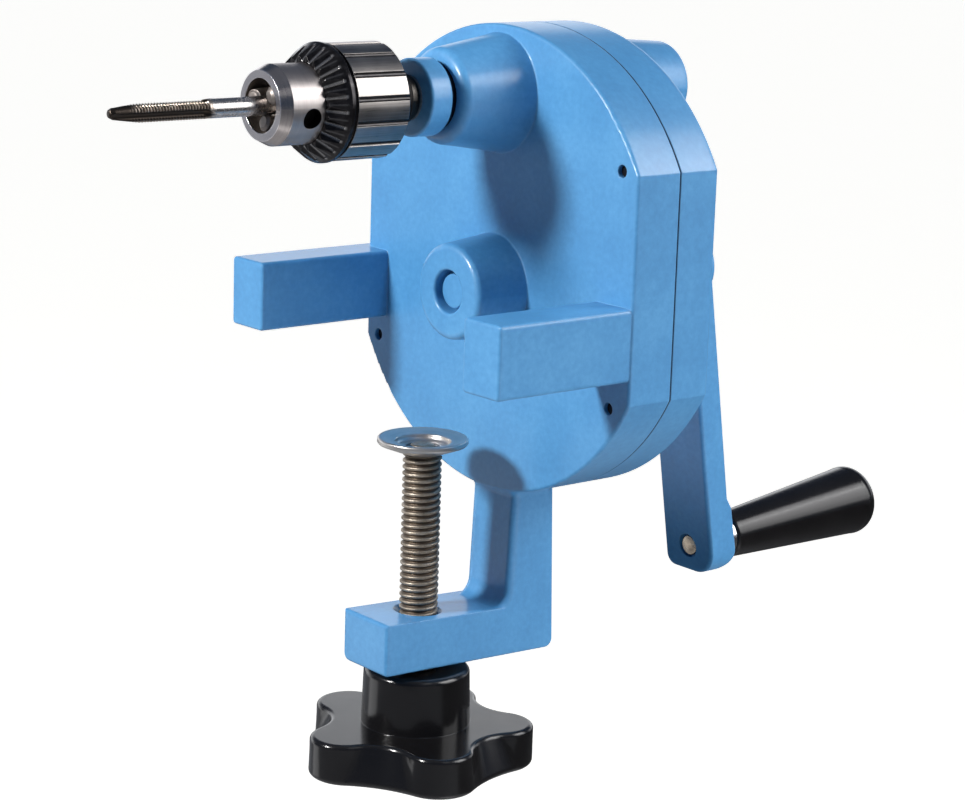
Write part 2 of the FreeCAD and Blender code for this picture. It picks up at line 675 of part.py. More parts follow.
def chuck_nut():
    # conical seat matches the jaws' backs
    y0, y1 = -71.9, -63.0
    def rc(y):
        return JAW_RHO + (y - (CH_Y0 + 0.6)) * math.tan(JAW_A) + JAW_R / math.cos(JAW_A) + 0.08
    n = turned([(y0, rc(y0)), (y0, 14.9), (y1, 14.9), (y1, rc(y1))], 0, Z_SP)
    return n


# --------------------------------------------------------------------- tap
def tap():
    shank_r = 2.9
    t = turned([
        (TAP_TIP, 0.0), (TAP_TIP + 2.2, 1.9), (TAP_TIP + 9.8, 2.95), (-110.4, 2.95), (-109.6, 2.75), (-108.4, shank_r), (-74.4, shank_r),
        (-74.0, shank_r - 0.4), (-74.0, 0.0)], 0, Z_SP)
    # three straight flutes
    for i in range(3):
        a = math.radians(90 + 120 * i)
        t = t.cut(Part.makeCylinder(1.65, 34.5, V(2.75 * math.cos(a), TAP_TIP - 1, Z_SP + 2.75 * math.sin(a)), V(0, 1, 0)))
    # square at the back end
    sq = box(-2.25, 2.25, -80.0, -73.0, Z_SP - 2.25, Z_SP + 2.25)
    tail = cyl(0, -80.0, -73.0, Z_SP, 4)
    t = t.cut(tail.cut(sq))
    return t


# ------------------------------------------------------------------- crank
CS_R = 6.5


def crank_shaft():
    s = turned([
        (-10.6, 0.0), (-10.6, CS_R - 0.5), (-10.1, CS_R), (-7.6, CS_R), (-7.6, CS_R - 0.6), (-6.4, CS_R - 0.6), (-6.4, CS_R),
        (64.5, CS_R), (64.5, 6.0), (81.4, 6.0), (81.8, 5.6), (81.8, 0.0)], 0, Z_CR)
    s = s.cut(box(-2.0, 2.0, 10.4, 22.6, Z_CR + CS_R - 2.0, Z_CR + CS_R + 2))
    # two flats that drive the arm
    for sg in (-1, 1):
        s = s.cut(box(-20, 20, 64.5, 84.4, Z_CR + (5.0 if sg > 0 else -20), Z_CR + (20 if sg > 0 else -5.0)))
    return s.cut(cyl(0, 66.0, 90, Z_CR, 2.5))


def arm_screw():
    y = 83.4
    s = cyl(0, 68.0, y + 0.5, Z_CR, 2.48)
    h = turned([(y, 0.0), (y, 4.9), (y + 1.2, 4.9), ((y + 2.5, 4.3), (y + 3.2, 2.9)), (y + 3.2, 0.0)], 0, Z_CR)
    h = h.cut(hex_prism_y(1.74, y + 1.4, y + 5, Z_CR))
    return s.fuse(h).removeSplitter()


def hex_prism_y(r, y0, y1, z, x=0.0):
    w = Part.Wire([Part.makeLine(V(x + r * math.cos(math.radians(60 * i)), y0, z + r * math.sin(math.radians(60 * i))),
                                 V(x + r * math.cos(math.radians(60 * i + 60)), y0, z + r * math.sin(math.radians(60 * i + 60))))
                   for i in range(6)])
    return Part.Face(w).extrude(V(0, y1 - y0, 0))


def arm_y(z):
    return ARM_Y60 - math.tan(ARM_LEAN) * (z + 60.0)


def crank_arm():
    zb = -91.2
    # leaning bar, seen from the side, with a raised pad behind the handle pin
    zp = -66.9
    r = 9.0
    zt = Z_CR + 3.0
    pts = [V(-ARM_HW, arm_y(zt), zt), V(-ARM_HW, arm_y(zb), zb)]
    yb = arm_y(zb) + ARM_T + ARM_PAD
    pts.append(V(-ARM_HW, yb - r, zb))
    pts.append((V(-ARM_HW, yb - r + r * 0.72, zb + r * 0.33), V(-ARM_HW, yb - 0.9, zb + r)))
    pts.append(V(-ARM_HW, arm_y(zp) + ARM_T + ARM_PAD, zp))
    pts.append(V(-ARM_HW, arm_y(zp + 2.2) + ARM_T, zp + 2.2))
    pts.append(V(-ARM_HW, arm_y(zt) + ARM_T, zt))
    a = Part.Face(profile(pts)).extrude(V(2 * ARM_HW, 0, 0))
    # outline seen from the front: round head, rounded lower corners
    rc, rl, w = 9.0, 4.0, ARM_HW
    k = rc * (1 - math.sqrt(0.5))
    kl = rl * (1 - math.sqrt(0.5))
    front = profile([
        V(-w, 60, Z_CR), (V(0, 60, Z_CR + w), V(w, 60, Z_CR)),
        V(w, 60, zb + rc), (V(w - k, 60, zb + k), V(w - rc, 60, zb)),
        V(-w + rl, 60, zb), (V(-w + kl, 60, zb + kl), V(-w, 60, zb + rl))])
    a = a.common(Part.Face(front).extrude(V(0, 60, 0)))
    a = fillet(a, 1.2, lambda e, p, m: m.z < 15 and abs(m.y - arm_y(m.z)) < 1e-3 and all(abs(q.y - arm_y(q.z)) < 1e-3 for q in p))
    a = fillet(a, 1.2, lambda e, p, m: abs(p[0].z - p[-1].z) > 60 and abs(abs(m.x) - w) < 1e-3 and m.y - arm_y(m.z) > 5)
    # hub round the shaft
    hub = turned([(HUB_Y0, 0.0), (HUB_Y0, 12.2), ((HUB_Y0 + 0.4, 13.0), (HUB_Y0 + 1.3, 13.3)), (76.0, 12.7),
                  (HUB_Y1 - 1.0, 12.4), ((HUB_Y1 - 0.3, 12.1), (HUB_Y1, 11.4)), (HUB_Y1, 0.0)], 0, Z_CR)
    a = a.fuse(hub)
    a = a.common(box(-40, 40, 60, HUB_Y1, Z_CR - 1.2, 60).fuse(box(-40, 40, 60, 140, -120, Z_CR - 1.2)))
    # shaft seat with two flats, and the recess for washer and screw head
    seat = cyl(0, 60, 82.6, Z_CR, 6.0).common(box(-20, 20, 60, 82.6, Z_CR - 5.0, Z_CR + 5.0))
    a = a.cut(seat)
    a = a.cut(cyl(0, 82.0, 100, Z_CR, 8.4))
    # handle pin bore, square to the tilted handle axis, with a relief in
    # front and a spot face for the pin's shoulder behind
    d = V(0, math.cos(HANDLE_TILT), math.sin(HANDLE_TILT))
    c = V(0, PIN_Y, PIN_Z)
    a = a.cut(Part.makeCylinder(3.7, 40, c - d * 10, d))
    a = a.cut(Part.makeCylinder(4.3, 11.9, c - d * 10, d))
    a = a.cut(Part.makeCylinder(7.45, 20, c + d * 10.6, d))
    return a


HUB_Y0 = 64.6
HUB_Y1 = 87.8


def axis_solid(pts):
    """Turned solid about the handle axis.  pts: (s, r) or arcs, s counted
    from the pin's front end."""
    c = V(0, PIN_Y, PIN_Z)
    d = V(0, math.cos(HANDLE_TILT), math.sin(HANDLE_TILT))
    u = V(1, 0, 0)
    items = []
    for p in pts:
        if isinstance(p[0], tuple):
            items.append((c + d * p[0][0] + u * p[0][1], c + d * p[1][0] + u * p[1][1]))
        else:
            items.append(c + d * p[0] + u * p[1])
    f = Part.Face(profile(items))
    s = f.revolve(c, d, 360)
    return s if s.Volume > 0 else s.reversed()


H0 = 17.4   # handle's small end along its axis
H9 = 86.8   # its far end


def handle_pin():
    # domed front, shoulder between arm and handle, long journal
    return axis_solid([(0.15, 0.0), ((0.22, 1.4), (0.45, 2.9)), ((0.72, 3.5), (1.3, 3.69)), (10.65, 3.69), (10.65, 7.35), (H0 - 0.1, 7.35), (H0 - 0.1, 4.0),
                       (H9 - 18.4, 4.0), (H9 - 18.4, 3.3), (H9 - 17.0, 3.3), (H9 - 17.0, 4.0), (H9 - 15.2, 4.0), (H9 - 14.6, 3.4), (H9 - 14.6, 0.0)])


def handle_grip():
    g = axis_solid([
        (H0, 0.0), (H0, 7.1), ((H0 + 0.4, 7.85), (H0 + 1.3, 8.19)),
        (H9 - 7.8, 12.42),
        ((H9 - 2.2, 10.9), (H9 - 0.5, 6.6)),
        (H9 - 0.1, 2.6), (H9, 0.0)])
    bore = axis_solid([(H0 - 1, 0.0), (H0 - 1, 4.06), (H9 - 20.0, 4.06), (H9 - 20.0, 6.1), (H9 - 12.4, 6.1), (H9 - 12.4, 0.0)])
    return g.cut(bore)


def handle_clip():
    c = axis_solid([(H9 - 18.3, 3.34), (H9 - 18.3, 5.9), (H9 - 17.1, 5.9), (H9 - 17.1, 3.34)])
    w = box(-1.6, 1.6, 60, 220, PIN_Z, PIN_Z + 30)
    return c.cut(w)


# ------------------------------------------------------------------- clamp
def clamp_screw():
    s = turned_z([(CUP_Z - 2.3, 0.0), (CUP_Z - 2.3, 3.7), (CUP_Z - 2.5, 3.9), (CUP_Z - 2.8, 3.9), (CUP_Z - 2.8, 3.4), (CUP_Z - 3.9, 3.4), (CUP_Z - 3.9, 3.9),
                  (CUP_Z - 5.0, 3.9), (CUP_Z - 5.0, SCR_R - 0.7), (CUP_Z - 5.7, SCR_R), (-122.6, SCR_R), (-122.6, SCR_R - 0.02), (KNOB_ZB + 3.4, SCR_R - 0.02),
                  (KNOB_ZB + 2.6, SCR_R - 0.8), (KNOB_ZB + 2.6, 0.0)], 0, Y_SCR)
    # flat for the knob's grub screw
    d = KNOB_SCREW_DIR
    flat = Part.makeBox(6, 10, 8, V(0, -5, 0))
    flat.rotate(V(0, 0, 0), V(0, 0, 1), 140)
    flat.translate(V(0, Y_SCR, -116.0) + d * (SCR_R - 0.6))
    return s.cut(flat)


def clamp_cup():
    z = CUP_Z
    c = turned_z([(z - 2.9, 0.0), (z - 2.9, 8.0), ((z - 2.55, 8.5), (z - 1.5, 8.9)), ((z - 1.2, 9.1), (z - 1.05, 9.6)), (z - 0.15, 13.4), (z, 13.7), (z, 14.1),
                  ((z - 0.2, 14.44), (z - 0.6, CUP_R)), (z - 1.5, CUP_R), (z - 2.0, 14.2), (z - 4.7, 7.2), (z - 4.9, 6.8), (z - 4.9, 0.0)], 0, Y_SCR)
    c = c.cut(cylz(0, Y_SCR, z - 10, z + 1, 3.97))
    c = c.cut(cylz(0, Y_SCR, z - 3.95, z + 1, 5.6))
    return c


def cup_ring():
    z = CUP_Z
    r = turned_z([(z - 2.9, 3.42), (z - 2.9, 5.3), (z - 3.8, 5.3), (z - 3.8, 3.42)], 0, Y_SCR)
    return r.cut(box(0, 12, Y_SCR - 1.4, Y_SCR + 1.4, z - 5, z - 2))


def star_plan(lr, lc, rv, z):
    """Closed plan of the five lobes: round tips of radius lr whose centres lie
    lc from the axis, joined by tangent hollows of radius rv."""
    n = 5
    half = math.radians(180.0 / n)
    q = lc * math.cos(half)
    dc = q + math.sqrt(q * q - lc ** 2 + (lr + rv) ** 2)
    tips, ends = [], []
    for i in range(n):
        a = math.radians(LOBE_A0 + 360.0 / n * i)
        tips.append((V(lc * math.cos(a), Y_SCR + lc * math.sin(a), z), V((lc + lr) * math.cos(a), Y_SCR + (lc + lr) * math.sin(a), z)))
    for i in range(n):
        b = math.radians(LOBE_A0 + 360.0 / n * i) + half
        ch = V(dc * math.cos(b), Y_SCR + dc * math.sin(b), z)
        c0, c1 = tips[i][0], tips[(i + 1) % n][0]
        ends.append((c0 + (ch - c0) * (lr / (lr + rv)), V((dc - rv) * math.cos(b), Y_SCR + (dc - rv) * math.sin(b), z), c1 + (ch - c1) * (lr / (lr + rv))))
    edges = []
    for i in range(n):
        edges.append(Part.Arc(ends[(i - 1) % n][2], tips[i][1], ends[i][0]).toShape())
        edges.append(Part.Arc(ends[i][0], ends[i][1], ends[i][2]).toShape())
    return Part.Wire(edges)


def star_knob():
    hub = turned_z([(KNOB_ZT, 0.0), (KNOB_ZT, KNOB_HUB_R - 1.9), ((KNOB_ZT - 0.55, KNOB_HUB_R - 0.65), (KNOB_ZT - 1.8, KNOB_HUB_R - 0.1)),
                    (KNOB_ZL - 2.0, KNOB_HUB_R + 0.5), (KNOB_ZL - 2.0, 0.0)], 0, Y_SCR)
    # five lobes: the hollows between them are deep at the top edge and run
    # out towards the bottom
    def mix(f):
        return [LOBE_LOW[k] + (LOBE_TOP[k] - LOBE_LOW[k]) * f for k in range(3)]

    h = KNOB_ZL - KNOB_ZB
    star = Part.makeLoft([star_plan(*LOBE_LOW, KNOB_ZB), star_plan(*LOBE_TOP, KNOB_ZL)], True, True)
    before = len(star.Faces)
    star = fillet(star, 1.5, lambda e, p, m: abs(m.z - KNOB_ZL) < 1e-3 and all(abs(q.z - KNOB_ZL) < 1e-3 for q in p))
    star = fillet(star, 1.7, lambda e, p, m: abs(m.z - KNOB_ZB) < 1e-3 and all(abs(q.z - KNOB_ZB) < 1e-3 for q in p))
    if len(star.Faces) < before + 20:
        wires = []
        for low, r in ((True, 1.7), (False, 1.5)):
            for a in ((90, 65, 40, 20, 0) if low else (0, 20, 40, 65, 90)):
                s = math.radians(a)
                dz, inset = r - r * math.sin(s), r - r * math.cos(s)
                z = KNOB_ZB + dz if low else KNOB_ZL - dz
                lr, lc, rv = mix((z - KNOB_ZB) / h)
                wires.append(star_plan(lr - inset, lc, rv + inset, z))
        star = Part.makeLoft(wires, True, False)
        print("knob lobes lofted", star.isValid())
    k = star.fuse(hub)
    # seat for the screw and a hollow underside ring, as moulded knobs have
    k = k.cut(cylz(0, Y_SCR, KNOB_ZB + 2.6, KNOB_ZT + 1, SCR_R))
    k = k.cut(Part.makeCylinder(2.5, 40, V(0, Y_SCR, -112.0), KNOB_SCREW_DIR))
    return k


KNOB_SCREW_DIR = V(math.cos(math.radians(140)), math.sin(math.radians(140)), 0)


def knob_screw():
    d = KNOB_SCREW_DIR
    g = Part.makeCylinder(2.48, 9.4, V(0, Y_SCR, -112.0) + d * (SCR_R - 0.6), d)
    e1, e2 = V(-d.y, d.x, 0), V(0, 0, 1)
    c = V(0, Y_SCR, -112.0) + d * (SCR_R + 6.0)
    pts = [c + e1 * (1.44 * math.cos(math.radians(60 * i))) + e2 * (1.44 * math.sin(math.radians(60 * i))) for i in range(6)]
    return g.cut(Part.Face(profile(pts)).extrude(d * 6))


# ------------------------------------------------------------------- build
save("front_housing", front_housing())
save("rear_housing", rear_housing())
save("case_screws", case_screws())
save("case_dowels", dowels())
save("spindle_front_bush", bush(SP_BOSS_Y + 1.0, 7.6, Z_SP, 9.48, SP_R + 0.04, (-27.8, SP_BOSS_Y + 1.58, 10.4)))
save("spindle_rear_bush", bush(Y_REAR - 8.0, SP_REAR_Y - 5.6, Z_SP, 8.48, SP_R + 0.04, None))
save("crank_front_bush", bush(-6.3, 7.6, Z_CR, 7.98, CS_R + 0.04, None))
save("crank_rear_bush", bush(Y_REAR - 7.4, CR_REAR_Y, Z_CR, 8.48, CS_R + 0.04, (CR_REAR_Y, CR_REAR_Y + 1.2, 12.0)))
plug = turned([(-16.2, 0.0), (-16.2, 5.2), ((-16.12, 5.4), (-15.9, 5.5)), (PLUG_Y, 5.5), (PLUG_Y, 7.98), (PLUG_Y + 1.6, 7.98), (PLUG_Y + 1.6, 0.0)], 0, Z_CR)
save("crank_bore_plug", plug)

save("spindle", spindle())
save("spindle_collar", spindle_collar())
save("collar_screw", collar_screw())
pin_phase = -90 + 180.0 / N_PIN
pin = gear(N_PIN, M_GEAR, 10.5, 22.5, 0, Z_SP, pin_phase, 0.12, SP_R)
pin = pin.fuse(cyl(0, 22.5, 25.0, Z_SP, 10.5).cut(cyl(0, 20, 30, Z_SP, SP_R)))
pin = pin.fuse(cyl(0, 8.2, 10.5, Z_SP, 10.5).cut(cyl(0, 5, 12, Z_SP, SP_R)))
pin = pin.cut(box(-2.0, 2.0, 5, 30, Z_SP + SP_R - 2.0, Z_SP + SP_R + 1.9))
save("spindle_pinion", pin)
save("pinion_key", key(10.95, 22.05, Z_SP + SP_R - 1.98, Z_SP + SP_R + 1.86))
washer = cyl(0, 64.75, 66.4, Z_SP, 9.5).cut(cyl(0, 60, 80, Z_SP, SP_R + 0.03))
save("spindle_washer", washer)
save("spindle_circlip", ring_clip(66.55, 67.65, Z_SP, 6.34, 8.1))
save("chuck_body", forward(chuck_body()))
for i, d in enumerate(JAW_ANG):
    save("chuck_jaw_%d" % (i + 1), forward(chuck_jaw(d)))
save("chuck_sleeve", forward(chuck_sleeve()))
save("chuck_nut", forward(chuck_nut()))
save("tap", tap())

save("crank_shaft", crank_shaft())
wheel = gear(N_GEAR, M_GEAR, 10.9, 22.1, 0, Z_CR, 90.0, 0.12, CS_R)
# weight-saving recess on both faces and a hub
rim = cyl(0, 0, 40, Z_CR, 41.5).cut(cyl(0, -1, 41, Z_CR, 14.5))
wheel = wheel.cut(rim.common(box(-80, 80, 5, 13.6, -80, 120)))
wheel = wheel.cut(rim.common(box(-80, 80, 19.4, 30, -80, 120)))
wheel = wheel.fuse(cyl(0, 8.2, 25.6, Z_CR, 13.0).cut(cyl(0, 0, 40, Z_CR, CS_R)))
for i in range(5):
    a = math.radians(54 + 72 * i)
    wheel = wheel.cut(cyl(28.0 * math.cos(a), 5, 30, Z_CR + 28.0 * math.sin(a), 8.0))
wheel = wheel.cut(box(-2.0, 2.0, 5, 30, Z_CR + CS_R - 2.0, Z_CR + CS_R + 1.9))
save("drive_gear", wheel)
save("gear_key", key(10.45, 22.55, Z_CR + CS_R - 1.98, Z_CR + CS_R + 1.86))
save("crank_circlip", ring_clip(-7.55, -6.45, Z_CR, 5.94, 7.6, lug=False))
save("crank_arm", crank_arm())
save("arm_washer", cyl(0, 82.05, 83.4, Z_CR, 7.4).cut(cyl(0, 80, 90, Z_CR, 2.55)))
save("arm_screw", arm_screw())
save("handle_pin", handle_pin())
save("handle_grip", handle_grip())
save("handle_clip", handle_clip())

save("clamp_screw", clamp_screw())
save("clamp_cup", clamp_cup())
save("cup_ring", cup_ring())
save("star_knob", star_knob())
save("knob_screw", knob_screw())

for k, s in made.items():
    bb = s.BoundBox
    print("%-20s solids %d valid %s vol %.1f  x %.1f..%.1f y %.1f..%.1f z %.1f..%.1f" % (
        k, len(s.Solids), s.isValid(), s.Volume, bb.XMin, bb.XMax, bb.YMin, bb.YMax, bb.ZMin, bb.ZMax))
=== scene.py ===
import json
import math

import bmesh
import bpy
from mathutils import Matrix, Vector


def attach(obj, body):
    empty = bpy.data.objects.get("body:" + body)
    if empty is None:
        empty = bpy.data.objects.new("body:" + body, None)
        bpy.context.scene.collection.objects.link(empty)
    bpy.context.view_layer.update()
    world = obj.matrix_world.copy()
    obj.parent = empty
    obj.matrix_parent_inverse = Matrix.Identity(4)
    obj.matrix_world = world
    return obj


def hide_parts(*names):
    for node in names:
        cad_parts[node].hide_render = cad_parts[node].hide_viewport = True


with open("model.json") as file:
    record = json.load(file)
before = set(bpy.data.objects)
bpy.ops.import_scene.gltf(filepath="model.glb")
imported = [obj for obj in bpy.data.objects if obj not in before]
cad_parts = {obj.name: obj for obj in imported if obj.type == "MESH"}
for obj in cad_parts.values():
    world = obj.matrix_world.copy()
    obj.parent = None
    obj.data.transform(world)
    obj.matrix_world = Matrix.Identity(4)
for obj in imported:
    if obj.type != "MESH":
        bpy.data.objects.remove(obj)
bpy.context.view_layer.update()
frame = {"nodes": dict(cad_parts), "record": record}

scene = bpy.context.scene
NODES = frame["nodes"]

# ------------------------------------------------------------------ camera
CAM_LOC = Vector((0.6247665, -0.5206484, 0.1667699))
CAM_X = Vector((0.63244103, 0.77397296, 0.03137177))
CAM_Y = Vector((-0.19120125, 0.11673415, 0.97458464))
CAM_Z = Vector((0.75064001, -0.62236564, 0.22181206))
cam_data = bpy.data.cameras.new("view_camera")
cam_data.sensor_fit = "HORIZONTAL"
cam_data.sensor_width = 36.0
cam_data.lens = 95.9148
cam_data.clip_start = 0.05
cam_data.clip_end = 60.0
cam = bpy.data.objects.new("view_camera", cam_data)
cam.matrix_world = Matrix((
    (CAM_X.x, CAM_Y.x, CAM_Z.x, CAM_LOC.x),
    (CAM_X.y, CAM_Y.y, CAM_Z.y, CAM_LOC.y),
    (CAM_X.z, CAM_Y.z, CAM_Z.z, CAM_LOC.z),
    (0, 0, 0, 1)))
scene.collection.objects.link(cam)
scene.camera = cam

# ------------------------------------------------------------------- light
scene.view_settings.view_transform = "Standard"
scene.view_settings.look = "None"
scene.view_settings.exposure = 0.0
scene.view_settings.gamma = 1.0


def from_az_el(az, el):
    """Unit vector towards a light: azimuth 0 is -Y, 90 is +X."""
    a, e = math.radians(az), math.radians(el)
    return Vector((math.sin(a) * math.cos(e), -math.cos(a) * math.cos(e), math.sin(e)))


def aim(obj, towards):
    obj.rotation_mode = "QUATERNION"
    obj.rotation_quaternion = (-towards).to_track_quat("-Z", "Y")


def softbox(name, az, el, dist, w, h, radiance, colour=(1, 1, 1), centre=(0, 0, 0.02), spread=180, shape="RECTANGLE"):
    d = bpy.data.lights.new(name, "AREA")
    d.shape = shape
    d.size, d.size_y = w, h
    d.energy = radiance * math.pi * w * h
    d.color = colour
    d.spread = math.radians(spread)
    o = bpy.data.objects.new(name, d)
    scene.collection.objects.link(o)
    v = from_az_el(az, el)
    o.location = Vector(centre) + v * dist
    aim(o, v)
    return o


softbox("key", -10.5, 26.8, 0.80, 0.112, 0.112, 205.0, (1.0, 0.985, 0.97), centre=(0, 0, 0))
# one tall box at the side, brightest along a tube two thirds up, fading downwards
softbox("side_top", 131, 40.2, 1.15, 0.74, 0.25, 6.5)
softbox("side_strip", 131, 33.5, 1.13, 0.74, 0.035, 15.0)
softbox("side_mid", 131, 28.3, 1.15, 0.74, 0.19, 6.3)
softbox("side_low", 131, 18.8, 1.15, 0.74, 0.19, 5.0)
softbox("side_base", 131, 8.9, 1.15, 0.74, 0.21, 3.5)
softbox("front_left", -70, -6, 1.20, 0.52, 0.60, 0.9)
# two white cards that show in the polished steel
softbox("high_card", 80, 42, 0.95, 0.30, 0.30, 1.5)
softbox("low_card", 88, -62, 0.70, 0.34, 0.30, 1.4)
# fill for the faces towards +X; too close to be let into the black plastic as a reflection
low_side = softbox("low_side", 104, -16, 0.70, 0.60, 0.44, 0.42, centre=(0, 0, -0.105), spread=40)
low_side.visible_glossy = False
softbox("front_low", -52, -24, 1.20, 0.55, 0.30, 1.0)

world = bpy.data.worlds.new("studio")
scene.world = world
world.use_nodes = True
wt = world.node_tree
wt.nodes.clear()


def wn(kind, **kw):
    n = wt.nodes.new(kind)
    for k, v in kw.items():
        setattr(n, k, v)
    return n


def wmath(op, a, b=None, clamp=False):
    n = wn("ShaderNodeMath", operation=op, use_clamp=clamp)
    for i, v in enumerate((a, b)):
        if v is None:
            continue
        if isinstance(v, (int, float)):
            n.inputs[i].default_value = v
        else:
            wt.links.new(v, n.inputs[i])
    return n.outputs[0]


def wramp(value, a, b, lo, hi):
    n = wn("ShaderNodeMapRange", interpolation_type="SMOOTHSTEP")
    wt.links.new(value, n.inputs["Value"])
    n.inputs["From Min"].default_value = a
    n.inputs["From Max"].default_value = b
    n.inputs["To Min"].default_value = lo
    n.inputs["To Max"].default_value = hi
    return n.outputs["Result"]


tc = wn("ShaderNodeTexCoord")
sep = wn("ShaderNodeSeparateXYZ")
wt.links.new(tc.outputs["Generated"], sep.inputs[0])
wx, wy, wz = sep.outputs
flat = wmath("SQRT", wmath("ADD", wmath("MULTIPLY", wx, wx), wmath("MULTIPLY", wy, wy)))
bd = from_az_el(-130, 0)
facing = wmath("DIVIDE", wmath("ADD", wmath("MULTIPLY", wx, bd.x), wmath("MULTIPLY", wy, bd.y)), wmath("MAXIMUM", flat, 1e-4))
# a pale wall behind the work, as high as 22 degrees
wall = wmath("MULTIPLY", wramp(facing, 0.35, 0.75, 0.0, 1.0), wramp(wz, 0.33, 0.42, 1.0, 0.0))
over = wramp(wz, 0.72, 0.95, 0.0, 1.0)
bright = wmath("ADD", wmath("MULTIPLY", wall, 1.45), wmath("MULTIPLY", over, 0.14))
bg_wall = wn("ShaderNodeBackground")
wt.links.new(bright, bg_wall.inputs["Strength"])
bg_wall.inputs["Color"].default_value = (1.0, 1.0, 1.0, 1)
bg_room = wn("ShaderNodeBackground")
bg_room.inputs["Color"].default_value = (0.58, 0.82, 1.30, 1)
bg_room.inputs["Strength"].default_value = 0.118
bg_light = wn("ShaderNodeAddShader")
wt.links.new(bg_wall.outputs[0], bg_light.inputs[0])
wt.links.new(bg_room.outputs[0], bg_light.inputs[1])
bg_seen = wn("ShaderNodeBackground")
bg_seen.inputs["Color"].default_value = (1.0, 1.0, 1.0, 1)
bg_seen.inputs["Strength"].default_value = 1.0
lp = wn("ShaderNodeLightPath")
mixw = wn("ShaderNodeMixShader")
wt.links.new(lp.outputs["Is Camera Ray"], mixw.inputs[0])
wt.links.new(bg_light.outputs[0], mixw.inputs[1])
wt.links.new(bg_seen.outputs[0], mixw.inputs[2])
outw = wn("ShaderNodeOutputWorld")
wt.links.new(mixw.outputs[0], outw.inputs["Surface"])


# --------------------------------------------------------------- materials
class Mat:
    def __init__(self, name):
        self.m = bpy.data.materials.new(name)
        self.m.use_nodes = True
        self.nt = self.m.node_tree
        self.nt.nodes.clear()
        self.out = self.nt.nodes.new("ShaderNodeOutputMaterial")
        self.p = self.nt.nodes.new("ShaderNodeBsdfPrincipled")
        self.nt.links.new(self.p.outputs[0], self.out.inputs["Surface"])
        self.co = self.nt.nodes.new("ShaderNodeTexCoord").outputs["Object"]

    def put(self, **kw):
        for k, v in kw.items():
            s = self.p.inputs[k.replace("_", " ")]
            s.default_value = tuple(v) + (1.0,) if isinstance(v, (tuple, list)) and len(v) == 3 and s.type == "RGBA" else v
        return self

    def link(self, a, b):
        self.nt.links.new(a, b)

    def node(self, kind, **kw):
        n = self.nt.nodes.new(kind)
        for k, v in kw.items():
            setattr(n, k, v)
        return n

    def math(self, op, a, b=None, c=None, clamp=False):
        n = self.node("ShaderNodeMath", operation=op, use_clamp=clamp)
        for i, v in enumerate((a, b, c)):
            if v is None:
                continue
            if isinstance(v, (int, float)):
                n.inputs[i].default_value = v
            else:
                self.link(v, n.inputs[i])
        return n.outputs[0]

    def xyz(self, vec=None):
        n = self.node("ShaderNodeSeparateXYZ")
        self.link(vec or self.co, n.inputs[0])
        return n.outputs

    def scaled(self, sx, sy, sz, off=(0, 0, 0)):
        n = self.node("ShaderNodeMapping")
        self.link(self.co, n.inputs["Vector"])
        n.inputs["Scale"].default_value = (sx, sy, sz)
        n.inputs["Location"].default_value = off
        return n.outputs[0]

    def noise(self, scale, detail=2.0, rough=0.5, vec=None, distortion=0.0):
        n = self.node("ShaderNodeTexNoise")
        self.link(vec or self.co, n.inputs["Vector"])
        n.inputs["Scale"].default_value = scale
        n.inputs["Detail"].default_value = detail
        n.inputs["Roughness"].default_value = rough
        n.inputs["Distortion"].default_value = distortion
        return n.outputs[0]

    def remap(self, v, a, b, lo, hi, smooth=False):
        n = self.node("ShaderNodeMapRange")
        if smooth:
            n.interpolation_type = "SMOOTHSTEP"
        self.link(v, n.inputs["Value"])
        for k, x in (("From Min", a), ("From Max", b), ("To Min", lo), ("To Max", hi)):
            n.inputs[k].default_value = x
        return n.outputs["Result"]

    def ramp(self, v, stops):
        n = self.node("ShaderNodeValToRGB")
        e = n.color_ramp.elements
        while len(e) < len(stops):
            e.new(0.5)
        for i, (pos, col) in enumerate(stops):
            e[i].position = pos
            e[i].color = tuple(col) + (1.0,)
        self.link(v, n.inputs[0])
        return n.outputs[0]

    def mix(self, fac, a, b, mode="MIX"):
        n = self.node("ShaderNodeMix", data_type="RGBA", blend_type=mode)
        for s, v in ((n.inputs[0], fac), (n.inputs[6], a), (n.inputs[7], b)):
            if isinstance(v, (int, float)):
                s.default_value = v
            elif isinstance(v, (tuple, list)):
                s.default_value = tuple(v) + (1.0,)
            else:
                self.link(v, s)
        return n.outputs[2]

    def bump(self, height, strength, dist, normal=None):
        n = self.node("ShaderNodeBump")
        n.inputs["Strength"].default_value = strength
        n.inputs["Distance"].default_value = dist
        self.link(height, n.inputs["Height"])
        if normal is not None:
            self.link(normal, n.inputs["Normal"])
        return n.outputs[0]

    def bevel(self, radius, samples=4):
        n = self.node("ShaderNodeBevel", samples=samples)
        n.inputs["Radius"].default_value = radius
        return n.outputs[0]

    def edge(self, bevelled):
        """0 on flat ground, towards 1 on edges, from a rounded normal."""
        g = self.node("ShaderNodeNewGeometry")
        d = self.node("ShaderNodeVectorMath", operation="DOT_PRODUCT")
        self.link(bevelled, d.inputs[0])
        self.link(g.outputs["Normal"], d.inputs[1])
        return self.math("SUBTRACT", 1.0, d.outputs["Value"], clamp=True)

    def base(self, sock):
        self.link(sock, self.p.inputs["Base Color"])

    def rough(self, sock):
        self.link(sock, self.p.inputs["Roughness"])

    def normal(self, sock):
        self.link(sock, self.p.inputs["Normal"])


SEAM_Y = 0.0174


